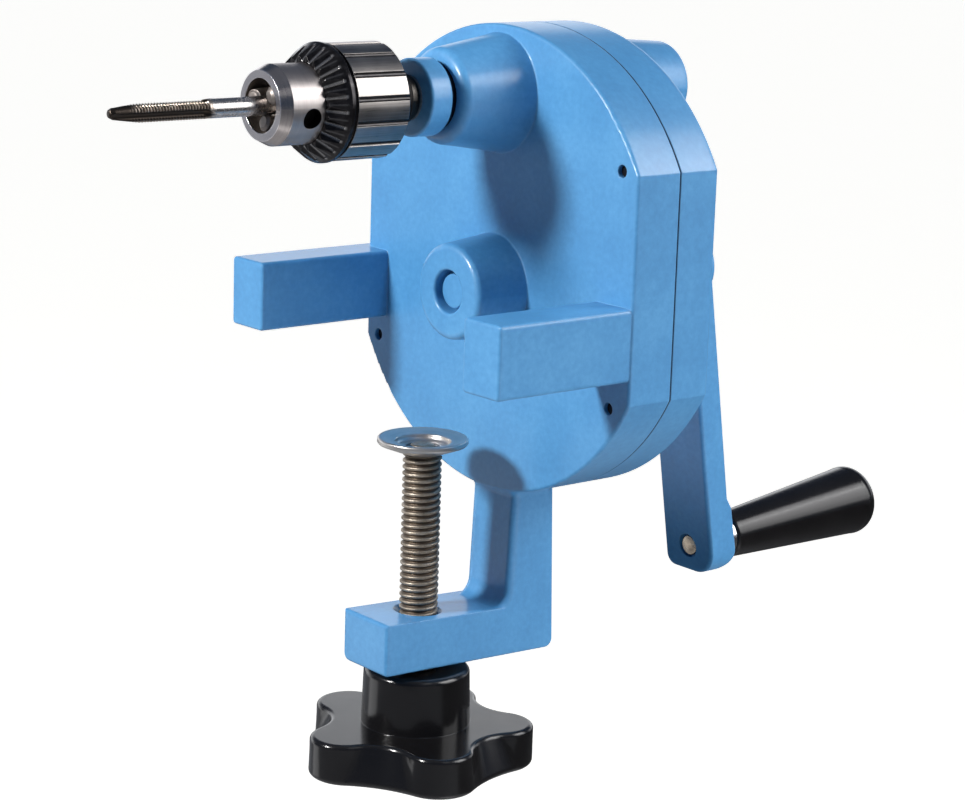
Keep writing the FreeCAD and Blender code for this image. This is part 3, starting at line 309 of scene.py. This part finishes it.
def paint(name, seam=False, k=1.0, arm_end_shade=False):
    """Satin sprayed enamel over a sand casting: cloudy colour, a fine orange peel, and paler edges that are partly thin
    paint and partly a painted highlight; on the crank arm, a painted shade low on the front face.
    """
    m = Mat(name)
    cloud = m.noise(38.0, 4.0, 0.55)
    fine = m.noise(520.0, 3.0, 0.6)
    speck = m.noise(1500.0, 2.0, 0.5)
    v = m.math("ADD", m.math("MULTIPLY", cloud, 0.55), m.math("MULTIPLY", fine, 0.45))
    lowc = (0.051 * k, 0.232 * k, 0.480 * k)
    midc = (0.062 * k, 0.264 * k, 0.527 * k)
    hic = (0.080 * k, 0.300 * k, 0.570 * k)
    col = m.ramp(v, [(0.36, lowc), (0.5, midc), (0.64, hic)])
    bev = m.bevel(0.0007, 4)
    # paler edges: partly paint worn thin, partly a painted highlight along the edge
    e = m.remap(m.edge(bev), 0.015, 0.22, 0.0, 0.55, smooth=True)
    col = m.mix(e, col, (0.20, 0.46, 0.80))
    if seam:
        x, y, z = m.xyz()
        d = m.math("ABSOLUTE", m.math("SUBTRACT", y, SEAM_Y))
        line = m.math("MULTIPLY", m.remap(d, 0.00012, 0.00042, 0.92, 0.0, smooth=True), m.remap(z, -0.0486, -0.0474, 0.0, 1.0))
        col = m.mix(line, col, (0.006, 0.012, 0.030))
    if arm_end_shade:
        x, y, z = m.xyz()
        # painted shade: the arm's front face is darkened towards its lower end, with less coat and specular there; d is
        # the distance behind the arm's leaning front face
        d = m.math("SUBTRACT", m.math("ADD", y, m.math("MULTIPLY", z, 0.163)), 0.08002)
        painted_shade = m.math("MULTIPLY", m.remap(z, -0.045, -0.088, 0.0, 0.58, smooth=True), m.remap(d, 0.0006, 0.0016, 1.0, 0.0, smooth=True))
        col = m.mix(painted_shade, col, (0.012, 0.026, 0.055))
    m.base(col)
    m.rough(m.remap(m.math("ADD", m.math("MULTIPLY", fine, 0.6), m.math("MULTIPLY", cloud, 0.4)), 0.3, 0.7, 0.54, 0.66))
    h = m.math("ADD", m.math("MULTIPLY", speck, 0.35), m.math("ADD", m.math("MULTIPLY", fine, 1.0), m.math("MULTIPLY", cloud, 1.6)))
    m.normal(m.bump(h, 0.16, 0.00022, bev))
    m.link(m.bump(h, 0.06, 0.00022, bev), m.p.inputs["Coat Normal"])
    m.put(Specular_IOR_Level=0.5, Coat_Roughness=0.22)
    if arm_end_shade:
        m.link(m.math("SUBTRACT", 0.55, m.math("MULTIPLY", painted_shade, 0.95)), m.p.inputs["Coat Weight"])
        m.link(m.math("SUBTRACT", 0.5, m.math("MULTIPLY", painted_shade, 0.75)), m.p.inputs["Specular IOR Level"])
    else:
        m.put(Coat_Weight=0.6)
    return m.m


def plastic(name, r0=0.15, r1=0.21, spec=0.5):
    """Gloss black moulding with faint handling marks."""
    m = Mat(name)
    big = m.noise(55.0, 3.0, 0.5)
    fine = m.noise(900.0, 3.0, 0.6)
    scr = m.noise(1.0, 2.0, 0.5, m.scaled(260, 260, 2600))
    m.base(m.ramp(big, [(0.35, (0.0050, 0.0046, 0.0048)), (0.65, (0.0075, 0.0069, 0.0072))]))
    v = m.math("ADD", m.math("MULTIPLY", big, 0.6), m.math("MULTIPLY", scr, 0.4))
    m.rough(m.remap(v, 0.3, 0.7, r0, r1))
    bev = m.bevel(0.0005, 4)
    m.normal(m.bump(m.math("ADD", m.math("MULTIPLY", fine, 0.3), big), 0.05, 0.0002, bev))
    m.put(Specular_IOR_Level=spec)
    return m.m


def steel(name, colour, rough, turned_y=True, dark=None, brush=0.12, pitch=5200.0, vary=0.12, bevel=0.0003):
    """Machined steel; turning marks run round the Y axis, or round Z."""
    m = Mat(name)
    ax = m.scaled(30, pitch, 30) if turned_y else m.scaled(30, 30, pitch)
    lines = m.noise(1.0, 3.0, 0.6, ax)
    big = m.noise(70.0, 3.0, 0.55)
    c2 = tuple(x * (1 - vary * 2.0) for x in colour)
    c3 = tuple(min(1.0, x * (1 + vary * 0.7)) for x in colour)
    v = m.math("ADD", m.math("MULTIPLY", lines, 0.5), m.math("MULTIPLY", big, 0.5))
    col = m.ramp(v, [(0.34, c2), (0.52, colour), (0.68, c3)])
    m.base(col)
    m.rough(m.remap(v, 0.3, 0.7, rough * 0.8, rough * 1.25))
    bev = m.bevel(bevel, 4)
    m.normal(m.bump(lines, brush, 0.00004, bev))
    m.put(Metallic=1.0)
    return m.m


def oxide(name):
    """Black oxide on screws and clips."""
    m = Mat(name)
    big = m.noise(300.0, 3.0, 0.6)
    m.base(m.ramp(big, [(0.35, (0.012, 0.012, 0.014)), (0.65, (0.030, 0.030, 0.034))]))
    m.rough(m.remap(big, 0.3, 0.7, 0.32, 0.5))
    m.put(Metallic=0.6)
    m.normal(m.bump(big, 0.1, 0.0001, m.bevel(0.0002, 4)))
    return m.m


def bronze(name):
    m = Mat(name)
    n = m.noise(1800.0, 3.0, 0.6)
    m.base(m.ramp(n, [(0.35, (0.30, 0.19, 0.085)), (0.65, (0.56, 0.38, 0.19))]))
    m.rough(m.remap(n, 0.3, 0.7, 0.3, 0.5))
    m.put(Metallic=1.0)
    m.normal(m.bump(n, 0.15, 0.0001, m.bevel(0.0003, 4)))
    return m.m


def sleeve_mat(name):
    """The grip is polished along its axis; the tooth ring and the land behind it are blackened, with painted glints:
    pale lines along the tooth valleys and faint ones on the crests. The flute bottoms take the dark ring colour as a
    painted shade.
    """
    m = Mat(name)
    x, y, z = m.xyz()
    zz = m.math("SUBTRACT", z, 0.08145)
    rad = m.math("SQRT", m.math("ADD", m.math("MULTIPLY", x, x), m.math("MULTIPLY", zz, zz)))
    lines = m.noise(1.0, 3.0, 0.6, m.scaled(2600, 30, 2600))
    big = m.noise(90.0, 3.0, 0.55)
    v = m.math("ADD", m.math("MULTIPLY", lines, 0.5), m.math("MULTIPLY", big, 0.5))
    bright = m.ramp(v, [(0.34, (0.200, 0.182, 0.170)), (0.52, (0.288, 0.265, 0.248)), (0.68, (0.355, 0.328, 0.306))])
    dark = m.remap(y, -0.06815, -0.06798, 1.0, 0.0)
    # painted shade: the bottoms of the grip's flutes are coloured as dark as the tooth ring
    groove = m.remap(rad, 0.01735, 0.01772, 1.0, 0.0, smooth=True)
    behind = m.remap(y, -0.0681, -0.0679, 0.0, 0.96)
    groove = m.math("MULTIPLY", groove, behind)
    k = m.math("MAXIMUM", dark, groove)
    # 23 teeth: u is 0 in a valley and 0.5 on a crest
    ang = m.math("ARCTAN2", zz, x)
    u = m.math("FRACT", m.math("ADD", m.math("MULTIPLY", ang, 23.0 / (2 * math.pi)), 46.0 - 11.6 * 23.0 / 360.0))
    off = m.math("ABSOLUTE", m.math("SUBTRACT", u, 0.5))
    cone = m.math("MULTIPLY", m.remap(y, -0.0720, -0.0712, 1.0, 0.0, smooth=True), m.remap(rad, 0.0123, 0.0126, 0.0, 1.0))
    # painted glints: pale lines along the tooth valleys and fainter ones on the crests
    valley_glint = m.math("MULTIPLY", m.remap(off, 0.35, 0.45, 0.0, 1.0, smooth=True), cone)
    crest = m.math("MULTIPLY", m.remap(off, 0.035, 0.085, 1.0, 0.0, smooth=True), cone)
    grime = m.ramp(m.noise(420.0, 3.0, 0.6), [(0.35, (0.010, 0.009, 0.010)), (0.7, (0.030, 0.028, 0.029))])
    teeth = m.mix(m.math("MULTIPLY", valley_glint, 0.72), grime, (0.36, 0.35, 0.345))
    teeth = m.mix(m.math("MULTIPLY", crest, 0.14), teeth, (0.36, 0.35, 0.35))
    m.base(m.mix(k, bright, teeth))
    m.link(m.remap(k, 0.0, 1.0, 1.0, 0.75), m.p.inputs["Metallic"])
    m.rough(m.math("ADD", m.remap(v, 0.3, 0.7, 0.26, 0.34), m.math("MULTIPLY", k, -0.10)))
    m.normal(m.bump(lines, 0.06, 0.00003, m.bevel(0.00022, 4)))
    return m.m


def screw_mat(name):
    """Oiled, brownish steel, darker in the thread's root."""
    m = Mat(name)
    x, y, z = m.xyz()
    yy = m.math("ADD", y, 0.0268)
    rad = m.math("SQRT", m.math("ADD", m.math("MULTIPLY", x, x), m.math("MULTIPLY", yy, yy)))
    root = m.math("MULTIPLY", m.remap(rad, 0.00550, 0.00622, 1.0, 0.0, smooth=True), m.remap(z, -0.0330, -0.0318, 1.0, 0.0))
    blot = m.noise(240.0, 4.0, 0.6)
    fine = m.noise(2400.0, 3.0, 0.6)
    v = m.math("ADD", m.math("MULTIPLY", blot, 0.65), m.math("MULTIPLY", fine, 0.35))
    crest = m.ramp(v, [(0.33, (0.20, 0.165, 0.13)), (0.5, (0.36, 0.31, 0.25)), (0.66, (0.50, 0.44, 0.37))])
    m.base(m.mix(root, crest, (0.105, 0.080, 0.060)))
    m.rough(m.remap(v, 0.3, 0.7, 0.58, 0.44))
    m.put(Metallic=1.0)
    m.normal(m.bump(fine, 0.15, 0.00006))
    return m.m


def tap_mat(name):
    m = Mat(name)
    x, y, z = m.xyz()
    zz = m.math("SUBTRACT", z, 0.08145)
    rad = m.math("SQRT", m.math("ADD", m.math("MULTIPLY", x, x), m.math("MULTIPLY", zz, zz)))
    front = m.remap(y, -0.1095, -0.1085, 1.0, 0.0)
    root = m.math("MULTIPLY", m.remap(rad, 0.00235, 0.00285, 1.0, 0.0, smooth=True), front)
    v = m.noise(500.0, 3.0, 0.6)
    lines = m.noise(1.0, 2.0, 0.5, m.scaled(60, 3500, 60))
    shank = m.ramp(m.math("ADD", m.math("MULTIPLY", lines, 0.5), m.math("MULTIPLY", m.noise(90.0, 2.0, 0.5), 0.5)),
                   [(0.32, (0.37, 0.345, 0.33)), (0.52, (0.46, 0.435, 0.42)), (0.70, (0.54, 0.515, 0.50))])
    tool = m.ramp(v, [(0.34, (0.20, 0.165, 0.135)), (0.52, (0.34, 0.29, 0.245)), (0.7, (0.50, 0.44, 0.39))])
    m.base(m.mix(root, m.mix(front, shank, tool), (0.045, 0.036, 0.030)))
    m.rough(m.math("ADD", m.remap(v, 0.3, 0.7, 0.24, 0.30), m.math("MULTIPLY", front, 0.10)))
    m.put(Metallic=1.0)
    m.normal(m.bump(lines, 0.015, 0.00003))
    return m.m


def chuck_mat(name):
    """Polished nose, faintly warm; near black deep in the body's holes, the key holes among them, as a painted shade,
    and over the rear end; a plain, rougher steel inside the mouth; a front face ring painted paler as a painted
    reflection.
    """
    m = Mat(name)
    x, y, z = m.xyz()
    zz = m.math("SUBTRACT", z, 0.08145)
    rad = m.math("SQRT", m.math("ADD", m.math("MULTIPLY", x, x), m.math("MULTIPLY", zz, zz)))
    lines = m.noise(1.0, 3.0, 0.6, m.scaled(25, 6500, 25))
    rings = m.noise(1.0, 3.0, 0.6, m.scaled(900, 25, 900))
    big = m.noise(80.0, 3.0, 0.55)
    v = m.math("ADD", m.math("MULTIPLY", lines, 0.5), m.math("MULTIPLY", big, 0.5))
    col = m.ramp(v, [(0.34, (0.295, 0.264, 0.254)), (0.52, (0.375, 0.341, 0.328)), (0.68, (0.435, 0.40, 0.38))])
    mouth = m.math("MULTIPLY", m.remap(rad, 0.00824, 0.00840, 1.0, 0.0), m.remap(y, -0.0910, -0.0903, 0.0, 1.0))
    rear = m.remap(y, -0.0490, -0.0480, 0.0, 1.0)
    # painted shade: the body's holes go near black deep inside
    hole = m.math("MULTIPLY", m.remap(rad, 0.01190, 0.01212, 1.0, 0.0), m.remap(y, -0.0874, -0.0871, 0.0, 1.0))
    k = m.math("MAXIMUM", m.math("MAXIMUM", mouth, rear), hole)
    # painted reflection: the nose's front face ring is painted paler
    face = m.remap(y, -0.09098, -0.09085, 1.0, 0.0)
    col = m.mix(m.math("MULTIPLY", face, 0.85), col, (0.86, 0.82, 0.83))
    m.base(m.mix(k, col, m.mix(mouth, (0.020, 0.018, 0.017), (0.40, 0.355, 0.32))))
    chamf = m.remap(y, -0.0877, -0.0873, 1.0, 0.0)
    m.rough(m.math("ADD", m.math("ADD", m.remap(v, 0.3, 0.7, 0.36, 0.44), m.math("MULTIPLY", chamf, -0.18)), m.math("MULTIPLY", k, 0.15)))
    m.put(Metallic=1.0)
    m.normal(m.bump(m.math("ADD", m.math("MULTIPLY", lines, 1.0), m.math("MULTIPLY", rings, 0.3)), 0.08, 0.00004, m.bevel(0.0003, 4)))
    return m.m


MATS = {
    "blue_paint": paint("blue_paint_cast_front", seam=True),
    "paint_rear": paint("blue_paint_cast_rear", seam=True),
    "paint_arm": paint("blue_paint_crank_arm", arm_end_shade=True),
    "paint_collar": paint("blue_paint_collar"),
    "paint_plug": paint("blue_paint_plug"),
    "black_screws": oxide("black_oxide"),
    "ground_steel": steel("ground_steel", (0.56, 0.53, 0.50), 0.22),
    "chuck_steel": chuck_mat("chuck_nose_polish"),
    "sleeve_steel": sleeve_mat("chuck_sleeve_polish"),
    "tap_steel": tap_mat("tap_tool_steel"),
    "oiled_steel": screw_mat("oiled_screw_steel"),
    "cup_steel": steel("polished_cup", (0.60, 0.575, 0.55), 0.38, turned_y=False, brush=0.02, pitch=2600.0),
    "bronze": bronze("sintered_bronze"),
    "gear_steel": steel("machined_steel", (0.34, 0.30, 0.265), 0.34),
    "black_plastic": plastic("black_gloss_knob"),
    "handle_plastic": plastic("black_satin_handle", 0.17, 0.25, 0.34),
}


def pin_mat(name):
    """The handle pin: a brown, oily domed front and a bright turned shoulder behind the arm."""
    m = Mat(name)
    x, y, z = m.xyz()
    front = m.remap(y, 0.0985, 0.1000, 1.0, 0.0)
    big = m.noise(420.0, 3.0, 0.6)
    lines = m.noise(1.0, 2.0, 0.5, m.scaled(60, 4200, 60))
    bright = m.ramp(lines, [(0.35, (0.56, 0.55, 0.54)), (0.65, (0.72, 0.71, 0.70))])
    brown = m.ramp(big, [(0.35, (0.27, 0.225, 0.175)), (0.65, (0.50, 0.43, 0.345))])
    m.base(m.mix(front, bright, brown))
    m.rough(m.math("ADD", m.remap(big, 0.3, 0.7, 0.16, 0.24), m.math("MULTIPLY", front, 0.06)))
    m.put(Metallic=1.0)
    m.normal(m.bump(lines, 0.04, 0.00003, m.bevel(0.0003, 4)))
    return m.m


def dark_front(name, y0, y1, gap_shade, colour):
    """Steel or bronze darkened in front of y0, a painted shade in the narrow gap between parts there, and bare behind
    y1.
    """
    m = Mat(name)
    x, y, z = m.xyz()
    n = m.noise(900.0, 3.0, 0.6)
    bare = m.ramp(n, [(0.35, tuple(c * 0.8 for c in colour)), (0.65, colour)])
    m.base(m.mix(m.remap(y, y0, y1, 1.0, 0.0), bare, gap_shade))
    m.rough(m.remap(n, 0.3, 0.7, 0.28, 0.40))
    m.put(Metallic=1.0)
    m.normal(m.bump(n, 0.08, 0.00004, m.bevel(0.0003, 4)))
    return m.m


JAW_STEEL = steel("jaw_steel", (0.27, 0.24, 0.22), 0.46)
NODE_MATS = {
    "handle_pin": pin_mat("handle_pin_steel"),
    # painted shade: the spindle and the front bush are darkened where they show in the narrow gaps between chuck,
    # collar and boss
    "spindle": dark_front("spindle_steel", -0.0372, -0.0362, (0.05, 0.046, 0.042), (0.52, 0.50, 0.48)),
    "spindle_front_bush": dark_front("front_bush_bronze", -0.0235, -0.0225, (0.020, 0.022, 0.028), (0.50, 0.34, 0.17)),
    "chuck_jaw_1": JAW_STEEL, "chuck_jaw_2": JAW_STEEL, "chuck_jaw_3": JAW_STEEL,
}
SLOT_OF = {s["node"]: s["material_slot"] for s in frame["record"]["subparts"] if "material_slot" in s}


def dress(obj, slot_name):
    obj.data.materials.clear()
    obj.data.materials.append(MATS[slot_name])


for n, o in NODES.items():
    s = SLOT_OF.get(n)
    if s in MATS:
        if not o.material_slots:
            o.data.materials.append(MATS[s])
        for ms in o.material_slots:
            ms.link = "OBJECT"
            ms.material = NODE_MATS.get(n, MATS[s])

# ------------------------------------------------------------------ meshes


def new_mesh(name, verts, faces, smooth=True):
    me = bpy.data.meshes.new(name)
    me.from_pydata([tuple(v) for v in verts], [], faces)
    me.validate()
    bm = bmesh.new()
    bm.from_mesh(me)
    bmesh.ops.recalc_face_normals(bm, faces=bm.faces)
    bm.to_mesh(me)
    bm.free()
    for p in me.polygons:
        p.use_smooth = smooth
    o = bpy.data.objects.new(name, me)
    scene.collection.objects.link(o)
    return o


def polar_skin(name, stations, nseg, radius, place):
    """A closed skin: radius(s, theta) at each station, capped at both ends with a point on the axis."""
    verts, faces = [], []
    for s in stations:
        for i in range(nseg):
            t = 2 * math.pi * i / nseg
            verts.append(place(s, t, radius(s, t)))
    rows = len(stations)
    for j in range(rows - 1):
        for i in range(nseg):
            a = j * nseg + i
            b = j * nseg + (i + 1) % nseg
            faces.append((a, b, b + nseg, a + nseg))
    c0 = len(verts)
    verts.append(place(stations[0], 0.0, 0.0))
    c1 = len(verts)
    verts.append(place(stations[-1], 0.0, 0.0))
    for i in range(nseg):
        faces.append((c0, (i + 1) % nseg, i))
        faces.append((c1, (rows - 1) * nseg + i, (rows - 1) * nseg + (i + 1) % nseg))
    return new_mesh(name, verts, faces)


def smooth01(x):
    x = max(0.0, min(1.0, x))
    return x * x * (3 - 2 * x)


def thread_wave(u, crest, root):
    """Depth share, 0 on the crest and 1 in the root, over one pitch u in 0..1 with the crest centred on 0."""
    u = u - math.floor(u)
    d = min(u, 1 - u) * 2                    # 0 at the crest's centre, 1 at the root's
    x = (d - crest) / max(1e-6, 1 - crest - root)
    x = max(0.0, min(1.0, x))
    s = x * x * (3 - 2 * x)
    return 0.45 * x + 0.55 * s


# ---- clamp screw with its real thread
Y_SCR = -0.0268
SCR_R = 0.00630
SCR_P = 0.0254 / 12
CUP_Z = -0.0271
KNOB_ZB = -0.1355


def screw_radius(z, t):
    # ball end and ring groove inside the cup
    top = CUP_Z - 0.0023
    if z > CUP_Z - 0.0025:
        return 0.0037 + 0.0002 * (top - z) / 0.0002
    if z > CUP_Z - 0.0028:
        return 0.0039
    if z > CUP_Z - 0.0039:
        return 0.0034
    if z > CUP_Z - 0.0050:
        return 0.0039
    r = SCR_R
    lead = (CUP_Z - 0.0050 - z)
    r = min(r, 0.0056 + lead)
    if z < KNOB_ZB + 0.0034:
        r = min(r, SCR_R - 0.0008 * (KNOB_ZB + 0.0034 - z) / 0.0008)
    if z > -0.1100:
        u = z / SCR_P - t / (2 * math.pi)
        depth = 0.00082 * smooth01((-0.1060 - z) / -0.004)
        r = min(r, SCR_R - 0.00001 - depth * thread_wave(u, 0.22, 0.14))
    return r


zs = [CUP_Z - 0.0023, CUP_Z - 0.0025, CUP_Z - 0.0028, CUP_Z - 0.00281, CUP_Z - 0.0039, CUP_Z - 0.00391, CUP_Z - 0.0050]
z = CUP_Z - 0.00505
while z > -0.1100:
    zs.append(z)
    z -= SCR_P / 14
zs += [-0.1101, -0.1200, KNOB_ZB + 0.0034, KNOB_ZB + 0.0026]
screw_piece = polar_skin("clamp_screw_thread", zs, 64, screw_radius,
                         lambda s, t, r: (r * math.cos(t), Y_SCR + r * math.sin(t), s))
dress(screw_piece, "oiled_steel")
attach(screw_piece, "screw_group")
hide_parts("clamp_screw")

# ---- the tap: chamfered lead, three flutes, thread
Z_SP = 0.08145
TAP_TIP = -0.1425
TAP_P = 0.001


def tap_env(y):
    """Crest radius along the tool."""
    s = y - TAP_TIP
    if s < 0.0012:
        return 0.0012 + 0.0006 * s / 0.0012
    if s < 0.0098:
        return 0.0018 + (0.00293 - 0.0018) * (s - 0.0012) / 0.0086
    if y < -0.1104:
        return 0.00293
    if y < -0.1094:
        return 0.00293 - 0.00012 * smooth01((y + 0.1104) / 0.001)
    return 0.00288


def tap_radius(y, t):
    r = tap_env(y)
    s = y - TAP_TIP
    root_r = 0.00235
    if s > 0.0004 and y < -0.1100:
        # along +Y a right hand thread turns the other way as seen from +Y
        u = y / TAP_P + t / (2 * math.pi)
        crest = 0.00293 - 0.00060 * thread_wave(u, 0.12, 0.12)
        fade = smooth01((-0.1100 - y) / 0.0008)
        r = min(r, r + (crest - 0.00293) * fade if r > 0.00285 else min(r, crest))
    # flutes
    if y < -0.1075:
        run = smooth01((-0.1075 - y) / 0.0040)
        for i in range(3):
            a = math.radians(90 + 120 * i)
            d = (t - a + math.pi) % (2 * math.pi) - math.pi
            # a round-bottomed cutter: centre 2.75 out, radius 1.62
            cx, cr = 0.00278, 0.00160 * max(0.05, run)
            c = math.cos(d)
            disc = cr * cr - (cx * math.sin(d)) ** 2
            if c > 0 and disc > 0:
                r = min(r, max(cx * c - math.sqrt(disc), 0.00105))
    # square end in the jaws
    if y > -0.0800:
        q = 0.00225
        c, sn = abs(math.cos(t)), abs(math.sin(t))
        r = min(r, q / max(c, sn, 1e-6))
        if y > -0.0744:
            r = r - (y + 0.0744)
    return max(r, 0.0004)


ys = []
y = TAP_TIP + 0.0000
while y < -0.1072:
    ys.append(y)
    y += TAP_P / 12
ys += [-0.1070, -0.1040, -0.0960, -0.0880, -0.0801, -0.0800, -0.0799, -0.0770, -0.0744, -0.0740]
tap_piece = polar_skin("tap_cutting_thread", ys, 108, tap_radius,
                       lambda s, t, r: (r * math.cos(t), s, Z_SP + r * math.sin(t)))
dress(tap_piece, "tap_steel")
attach(tap_piece, "tap")
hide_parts("tap")

# ------------------------------------------------------------------- floor
fm = bpy.data.materials.new("pale_floor")
fm.use_nodes = True
ft = fm.node_tree
ft.nodes.clear()
fo = ft.nodes.new("ShaderNodeOutputMaterial")
ftc = ft.nodes.new("ShaderNodeTexCoord")
fns = ft.nodes.new("ShaderNodeTexNoise")
fns.inputs["Scale"].default_value = 6.0
fns.inputs["Detail"].default_value = 3.0
ft.links.new(ftc.outputs["Object"], fns.inputs["Vector"])
framp = ft.nodes.new("ShaderNodeValToRGB")
framp.color_ramp.elements[0].color = (0.88, 0.86, 0.835, 1)
framp.color_ramp.elements[1].color = (0.92, 0.90, 0.875, 1)
ft.links.new(fns.outputs[0], framp.inputs[0])
f_see = ft.nodes.new("ShaderNodeBsdfDiffuse")
ft.links.new(framp.outputs[0], f_see.inputs["Color"])
f_em = ft.nodes.new("ShaderNodeEmission")
f_em.inputs["Color"].default_value = (1.0, 0.976, 0.909, 1)
f_em.inputs["Strength"].default_value = 0.82
f_add = ft.nodes.new("ShaderNodeAddShader")
ft.links.new(f_see.outputs[0], f_add.inputs[0])
ft.links.new(f_em.outputs[0], f_add.inputs[1])
f_sep = ft.nodes.new("ShaderNodeSeparateXYZ")
ft.links.new(ftc.outputs["Object"], f_sep.inputs[0])
f_back = ft.nodes.new("ShaderNodeMapRange")
f_back.interpolation_type = "SMOOTHSTEP"
ft.links.new(f_sep.outputs[1], f_back.inputs["Value"])
f_back.inputs["From Min"].default_value = 0.45
f_back.inputs["From Max"].default_value = 0.66
f_back.inputs["To Min"].default_value = 0.52
f_back.inputs["To Max"].default_value = 0.10
f_dim = ft.nodes.new("ShaderNodeBsdfDiffuse")
ft.links.new(f_back.outputs["Result"], f_dim.inputs["Color"])
flp = ft.nodes.new("ShaderNodeLightPath")
fmx = ft.nodes.new("ShaderNodeMixShader")
ft.links.new(flp.outputs["Is Camera Ray"], fmx.inputs[0])
f_glow = ft.nodes.new("ShaderNodeEmission")
f_glow.inputs["Color"].default_value = (1, 1, 1, 1)
f_gl = ft.nodes.new("ShaderNodeMath")
f_gl.operation = "MULTIPLY"
f_gl.inputs[1].default_value = 0.18
ft.links.new(f_back.outputs["Result"], f_gl.inputs[0])
ft.links.new(f_gl.outputs[0], f_glow.inputs["Strength"])
f_low = ft.nodes.new("ShaderNodeAddShader")
ft.links.new(f_dim.outputs[0], f_low.inputs[0])
ft.links.new(f_glow.outputs[0], f_low.inputs[1])
ft.links.new(f_low.outputs[0], fmx.inputs[1])
ft.links.new(f_add.outputs[0], fmx.inputs[2])
ft.links.new(fmx.outputs[0], fo.inputs["Surface"])
floor = new_mesh("floor", [(-30, -30, -0.62), (30, -30, -0.62), (30, 30, -0.62), (-30, 30, -0.62)], [(0, 1, 2, 3)], smooth=False)
floor.data.materials.append(fm)
